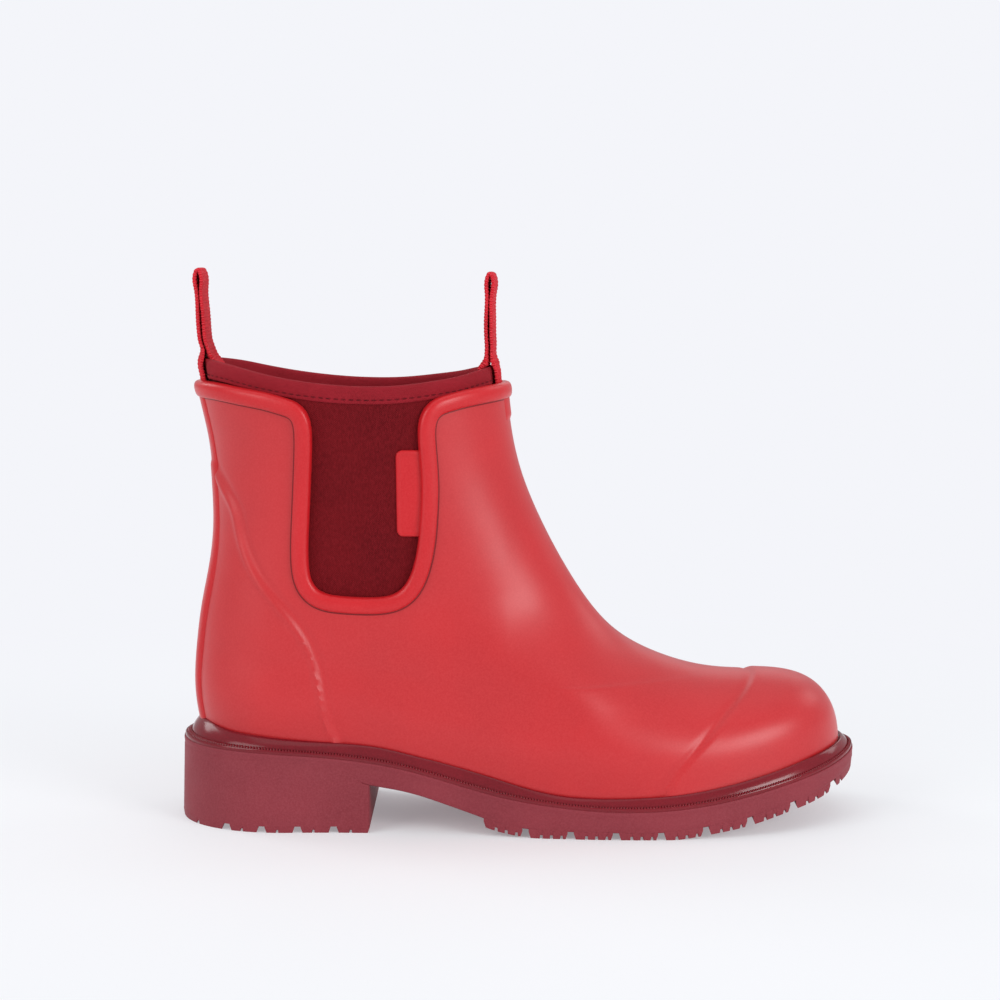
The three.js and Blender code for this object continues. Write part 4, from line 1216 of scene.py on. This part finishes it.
def tab_mesh():
    """A blank rubber tab: rounded free corners and a raised border."""
    v = np.linspace(0, 1, 120)[:, None]
    u = np.linspace(0, 1, 44)[None]
    z_flat = TAB_LOW + 0.3 + v * (TAB_H - 0.2)
    front = float(np.min(rim_inner_x(np.linspace(TAB_LOW, TAB_LOW + TAB_H, 9)))) - 0.6
    width = TAB_L + TAB_UNDER
    end_gap = np.minimum(z_flat - z_flat.min(), z_flat.max() - z_flat)
    cut = np.clip(TAB_ROUND - end_gap, 0, TAB_ROUND)
    inset = TAB_ROUND - np.sqrt(np.maximum(0, TAB_ROUND**2 - cut**2))
    x = mix(front - TAB_L + inset, front + width - TAB_L, u)
    z = np.broadcast_to(z_flat, x.shape)
    from_left = x - (front - TAB_L + inset)
    near = np.minimum(from_left, end_gap)
    rise = clamp01(near / TAB_EDGE)
    edge = np.sqrt(rise * (2 - rise))
    border = TAB_BORDER_H * hump(near, 1.15, 0.42)
    outer = skin(x, z, -1, TAB_DEPTH + 0.15 + TAB_PLUMP * edge + border)
    inner = skin(x, z, -1, TAB_DEPTH)
    return slab(outer, inner), front


(tab_points, tab_faces), tab_front = tab_mesh()
tab = make("blank_tab", tab_points, tab_faces, TRIM, "trim_rubber", body=None,
           replaces=["side_tab"], sharp=60)
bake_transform(tab)

# ---- Welt ----
WELT_TURNS = 3240
TOOTH_H = 0.8
TOOTH_POINTS = 6  # round the welt, for each tooth
WELT_INSET = 0.3
WELT_FOOT = 0.4
LIP_H = 0.9
WELT_ROWS = [  # share of the way in from the lip, share of the rise, out, lift, share of a tooth
    (0.0, 0.0, -0.8, -1.4, 0), (0.0, 0.0, -0.05, -1.3, 0), (0.0, 0.0, 0, -0.5, 0),
    (0.0, 0.0, -0.02, 0.1, 0), (0.03, 0.02, 0, 0.3, 0), (0.08, 0.03, 0, -0.1, 0.35),
    (0.14, 0.05, 0, -0.1, 1), (0.24, 0.11, 0, -0.1, 1), (0.28, 0.15, 0, -0.1, 0.5),
    (0.30, 0.17, 0, -0.15, 0), (0.32, 0.22, 0, 0, 0), (0.35, 0.31, 0, 0, 0),
    (0.44, 0.49, 0, 0, 0), (0.55, 0.66, 0, 0, 0), (0.67, 0.81, 0, 0, 0), (0.77, 0.92, 0, 0, 0),
    (0.86, 0.96, 0, 0, 0), (0.91, 0.93, 0, 0, 0), (0.95, 0.86, 0, 0, 0), (1.0, 0.8, 0, 0, 0),
    (1.08, 0.78, 0, 0, 0), (1.14, 0.0, 0, -1.4, 0),
]


def even_turns(count):
    """Turns whose points are evenly spaced round the sole."""
    dense = np.linspace(0, 2 * np.pi, 6001)
    p = plan_ring(4.0, above(0), dense)
    walk = walked(p)
    return np.interp(np.arange(count) * walk[-1] / count, walk, dense)


def welt():
    turn = even_turns(WELT_TURNS)
    tooth = abs(np.sin(np.pi * np.arange(WELT_TURNS) / TOOTH_POINTS)) ** 0.7
    lip = ledge(turn)
    shoulder = level(raised(welt_top, GAP))
    high = shoulder[2](along(shoulder, turn))
    rows = []
    for share, rise, out, lift, teeth in WELT_ROWS:
        low = plan_ring(mix(lip - WELT_INSET, WELT_FOOT, share) + out, above(GAP), turn)
        low[:, 2] = mix(low[:, 2] + LIP_H, high, rise) + lift + TOOTH_H * teeth * tooth
        rows.append(low)
    # U falls from 1 to 0 over the rows nearest the upper, where the welt material paints shade in
    # the crease against the upper.
    uv = np.zeros((WELT_TURNS, len(rows), 2))
    uv[..., 0] = 1 - smooth((np.arange(len(rows)) - len(rows) + 6.5) / 3)
    return *hoop(np.stack(rows, 1)), uv


welt_points, welt_faces, welt_uv = welt()
make("welt_band", welt_points, welt_faces, WELT, "welt_rubber", replaces=["welt"], uv=welt_uv,
     sharp=60)

# ---- Outsole ----
SOLE_TURNS = 520


def outsole_plate():
    turn = turns(SOLE_TURNS)
    edge = ledge(turn)
    rows = [(-1.2, sole_under, 0.0), (-0.5, sole_under, 0.12), (-0.12, sole_under, 0.45),
            (0.0, sole_under, 1.0)]
    rings = [plan_ring(edge + out, lambda x, f=f, h=h: f(x) + h, turn) for out, f, h in rows]
    for share in (0.35, 0.65):
        rings.append(plan_ring(edge, lambda x, s=share: mix(sole_under(x), sole_top(x), s), turn))
    for out, h in ((0.0, -1.6), (0.12, -1.2), (0.13, -0.5), (0.04, -0.1), (-0.2, 0.05)):
        rings.append(plan_ring(edge + out, above(h), turn))
    return capped(rings, sole_under, sole_top)


def side_reach(out):
    """Plan half widths as functions of x, for both sides of the sole grown by out."""
    turn = np.linspace(0, 2 * np.pi, 3001)
    p = plan_ring(ledge(turn) + out, above(0), turn)
    reach = []
    for side in (-1, 1):
        half = p[side_of(turn) == side]
        half = half[np.argsort(half[:, 0])]
        reach.append(lambda x, h=half: np.interp(x, h[:, 0], h[:, 1], left=6.0, right=6.0))
    return reach, p[:, 0].min(), p[:, 0].max()


NOTCH_SLOPE = 0.12
BAR_STEP = 1.4


def bar(x0, x1, low, high, notches, out, bevel=0.8, slope=2.3):
    """A tread bar across the sole from x0 to x1, its ends sloped, with narrow cuts in its foot."""
    stations = [x0 + bevel, x1 - bevel]
    for centre, width, depth in notches:
        left, right = centre - width / 2, centre + width / 2
        stations += [left, left + NOTCH_SLOPE, right - NOTCH_SLOPE, right]
    stations += list(np.arange(x0 + 1.0, x1 - 0.8, BAR_STEP))
    stations = np.array(sorted(set(np.round(stations, 4))))
    cut = np.zeros(len(stations))
    for centre, width, depth in notches:
        inside = abs(stations - centre) < (width - NOTCH_SLOPE) / 2
        cut = np.where(inside, depth, cut)
    rings = []
    for inset, zs in ((bevel, 0), (0.0, 1), (0.0, 2)):
        (left, right), rear, tip = side_reach(out - inset * 0.4)
        xs = mix(x0 + inset, x1 - inset, (stations - stations[0]) / (stations[-1] - stations[0]))
        foot_z = low(xs) + cut
        z = [foot_z, np.minimum(foot_z + slope, high(xs)), high(xs)][zs]
        near = np.stack([xs, left(xs), z], -1)
        far = np.stack([xs, right(xs), z], -1)
        rings.append(np.vstack([near, far[::-1]]))
    return closed_across(rings)


def lug_foot(x):
    return np.maximum(0.0, sole_under(x) - LUG_H)


def lug_root(x):
    return sole_under(x) + LUG_SUNK


def lugs():
    """Tread bars between the wide gaps, each with three narrow cuts."""
    bars = []
    x = LUG_FRONT
    while x - LUG_PITCH + LUG_GAP > LUG_REAR - 0.1:
        x0 = x - LUG_PITCH + LUG_GAP
        cuts = [(x0 + step, 1.25, 1.4) for step in (5.0, 9.0, 13.0)]
        bars.append(bar(x0, x, lug_foot, lug_root, cuts, -LUG_IN))
        x -= LUG_PITCH
    tip = side_reach(-LUG_IN)[2]
    bars.append(bar(LUG_FRONT + LUG_GAP, tip - GAP, lug_foot, lug_root,
                    [(LUG_FRONT + 5.2, 1.0, 1.2)], -LUG_IN))
    return bars


make("outsole_tread", *joined([outsole_plate(), *lugs()]), SOLE, "sole_rubber",
     replaces=["outsole"], sharp=32, weld=1e-7)


# ---- Heel block ----
def heel_outline(out, count=260):
    """Plan outline of the heel from its breast round the back, as points."""
    turn = np.linspace(-2.2, 2.2, 4001)
    p = plan_ring(ledge(turn) + out, above(0), np.mod(turn, 2 * np.pi))
    keep = p[:, 0] < HEEL_BREAST
    p = p[keep][:, :2]
    walk = walked(p)
    t = np.linspace(HEEL_CORNER, walk[-1] - HEEL_CORNER, count)
    body = np.stack([np.interp(t, walk, p[:, 0]), np.interp(t, walk, p[:, 1])], -1)
    start, finish = (np.array([HEEL_BREAST, y]) for y in (p[0, 1], p[-1, 1]))
    width = np.array([0, np.sign(finish[1] - start[1]) * HEEL_CORNER])

    def corner(tip, inward, flank):
        """Points from the breast round to the flank."""
        return [tip + inward * a + (flank - tip) * b for a, b in HEEL_ROUND]

    return np.vstack([corner(start, width, body[0]), body,
                      corner(finish, -width, body[-1])[::-1]])


def heel_ring(out, z_at):
    p = heel_outline(out)
    return np.column_stack([p, z_at(p[:, 0])])


def heel_upper():
    """The heel above its tread cuts."""
    def top(x):
        """The heel's upper edge, lapped over the outsole's flank and falling to the breast."""
        lap = smooth((HEEL_BREAST - 1.5 - x) / 14)
        return mix(sole_under(x) + 0.3, sole_top(x) - HEEL_LAP, lap)

    rows = [(HEEL_TREAD_OUT, flat_at(HEEL_SLOT_DEPTH))]
    for share in (0.25, 0.5, 0.75):
        rows.append((mix(HEEL_TREAD_OUT, HEEL_TOP_OUT, share),
                     lambda x, s=share: mix(HEEL_SLOT_DEPTH, top(x) - 0.4, s)))
    rows += [(HEEL_TOP_OUT, lambda x: top(x) - 0.4), (0.05, lambda x: top(x) - 0.1), (-0.3, top)]
    return closed_across([heel_ring(out, z_at) for out, z_at in rows])


def heel_bars():
    """The heel's tread between its cuts, each bar with one narrow cut."""
    cuts = [HEEL_BREAST - HEEL_SLOT_PITCH * (i + 1) for i in range(HEEL_SLOTS)]
    ends = [HEEL_BREAST] + [c - LUG_GAP / 2 for c in cuts]
    starts = [c + LUG_GAP / 2 for c in cuts] + [side_reach(0.9)[1] + 0.3]
    bars = []
    for x1, x0 in zip(ends, starts):
        notch = [(mix(x0, x1, 0.42), 1.1, 1.2)] if x1 - x0 > 6 else []
        bars.append(bar(x0, x1, flat_at(0.0), flat_at(HEEL_SLOT_DEPTH + 0.05), notch,
                        HEEL_TREAD_OUT + 0.03))
    return bars


make("heel_stack", *joined([heel_upper(), *heel_bars()]), SOLE, "sole_rubber",
     replaces=["heel_block"], sharp=32, weld=1e-7)


# ---- Stage, light and camera ----
BACKGROUND = (0.905, 0.913, 0.955, 1)
PAPER = (0.93, 0.955, 0.96, 1)
FLOOR_REACH = 3.0
FLOOR_FADE = (-0.12, 0.5)  # metres from the centre, where the fade has already begun
AIR_LIGHT = 0.55
LENS = 79.2
CAMERA_PLACE = (-0.0077, -0.8994, 0.228)
CAMERA_DIP = 6.2


def stage():
    """Round pale floor that fades into the background colour away from the boot."""
    rows, columns = 60, 96
    reach = FLOOR_REACH * np.linspace(0.0005, 1, rows)[:, None] ** 1.5
    turn = turns(columns)[None]
    points = np.stack([reach * np.cos(turn), reach * np.sin(turn), 0 * reach * turn], -1)
    mesh = bpy.data.meshes.new("studio_floor")
    mesh.from_pydata(points.reshape(-1, 3).tolist(), [],
                     grid_faces(rows, columns, loop=True).tolist())
    paper = Look("studio_paper", 0.9, Base_Color=PAPER, Specular_IOR_Level=0.1)
    glow = paper.node("Emission", Color=BACKGROUND)
    reach = paper.node("VectorMath", operation="LENGTH")
    paper.feed(reach.inputs[0], paper.place)
    mixer = paper.node("MixShader")
    share = paper.ramp(reach.outputs["Value"], *FLOOR_FADE)
    for socket, value in zip(mixer.inputs, (share, paper.shader.outputs[0], glow.outputs[0])):
        paper.feed(socket, value)
    paper.fill(paper.nodes["Material Output"], Surface=mixer.outputs[0])
    mesh.materials.append(paper.material)
    placed("studio_floor", mesh)


def studio_air():
    """Even air light, with the plain background colour where it is looked at directly."""
    world = bpy.data.worlds.new("studio_air")
    world.use_nodes = True
    nodes, links = world.node_tree.nodes, world.node_tree.links
    soft = nodes["Background"]
    soft.inputs["Color"].default_value = (0.95, 0.96, 1.0, 1)
    soft.inputs["Strength"].default_value = AIR_LIGHT
    seen = nodes.new("ShaderNodeBackground")
    seen.inputs["Color"].default_value = BACKGROUND
    mixer = nodes.new("ShaderNodeMixShader")
    path = nodes.new("ShaderNodeLightPath")
    links.new(path.outputs["Is Camera Ray"], mixer.inputs[0])
    links.new(soft.outputs[0], mixer.inputs[1])
    links.new(seen.outputs[0], mixer.inputs[2])
    links.new(mixer.outputs[0], nodes["World Output"].inputs["Surface"])
    bpy.context.scene.world = world


def area_light(name, place, target, size, power):
    data = bpy.data.lights.new(name, "AREA")
    data.shape = "RECTANGLE"
    data.size, data.size_y = size
    data.energy = power
    light = placed(name, data)
    light.location = place
    light.rotation_euler = (Vector(target) - Vector(place)).to_track_quat("-Z", "Y").to_euler()


stage()
studio_air()
for name, *light in (
    ("key", (1.15, -1.15, 0.62), (0.05, 0, 0.06), (0.7, 0.7), 12.5),
    ("fill", (-1.2, -1.0, 0.8), (0, 0, 0.08), (1.0, 1.0), 8.5),
    ("top", (0.0, -0.1, 1.7), (0, 0, 0.05), (1.6, 1.6), 4),
    ("rear", (0.1, 1.6, 1.0), (0, 0, 0.08), (1.6, 0.8), 3),
    ("left_edge", (-1.1, 0.6, 0.9), (0, 0, 0.08), (0.5, 0.5), 3),
    ("right_edge", (1.1, 0.6, 0.9), (0, 0, 0.08), (0.5, 0.5), 1.5),
):
    area_light(name, *light)
bpy.context.scene.view_settings.view_transform = "Standard"

camera_data = bpy.data.cameras.new("view")
camera_data.lens = LENS
camera_data.sensor_width = 36.0
camera = placed("view", camera_data)
camera.location = CAMERA_PLACE
camera.rotation_euler = (math.radians(90 - CAMERA_DIP), 0, 0)
camera_data.clip_start = 0.01
camera_data.clip_end = 50
bpy.context.scene.camera = camera
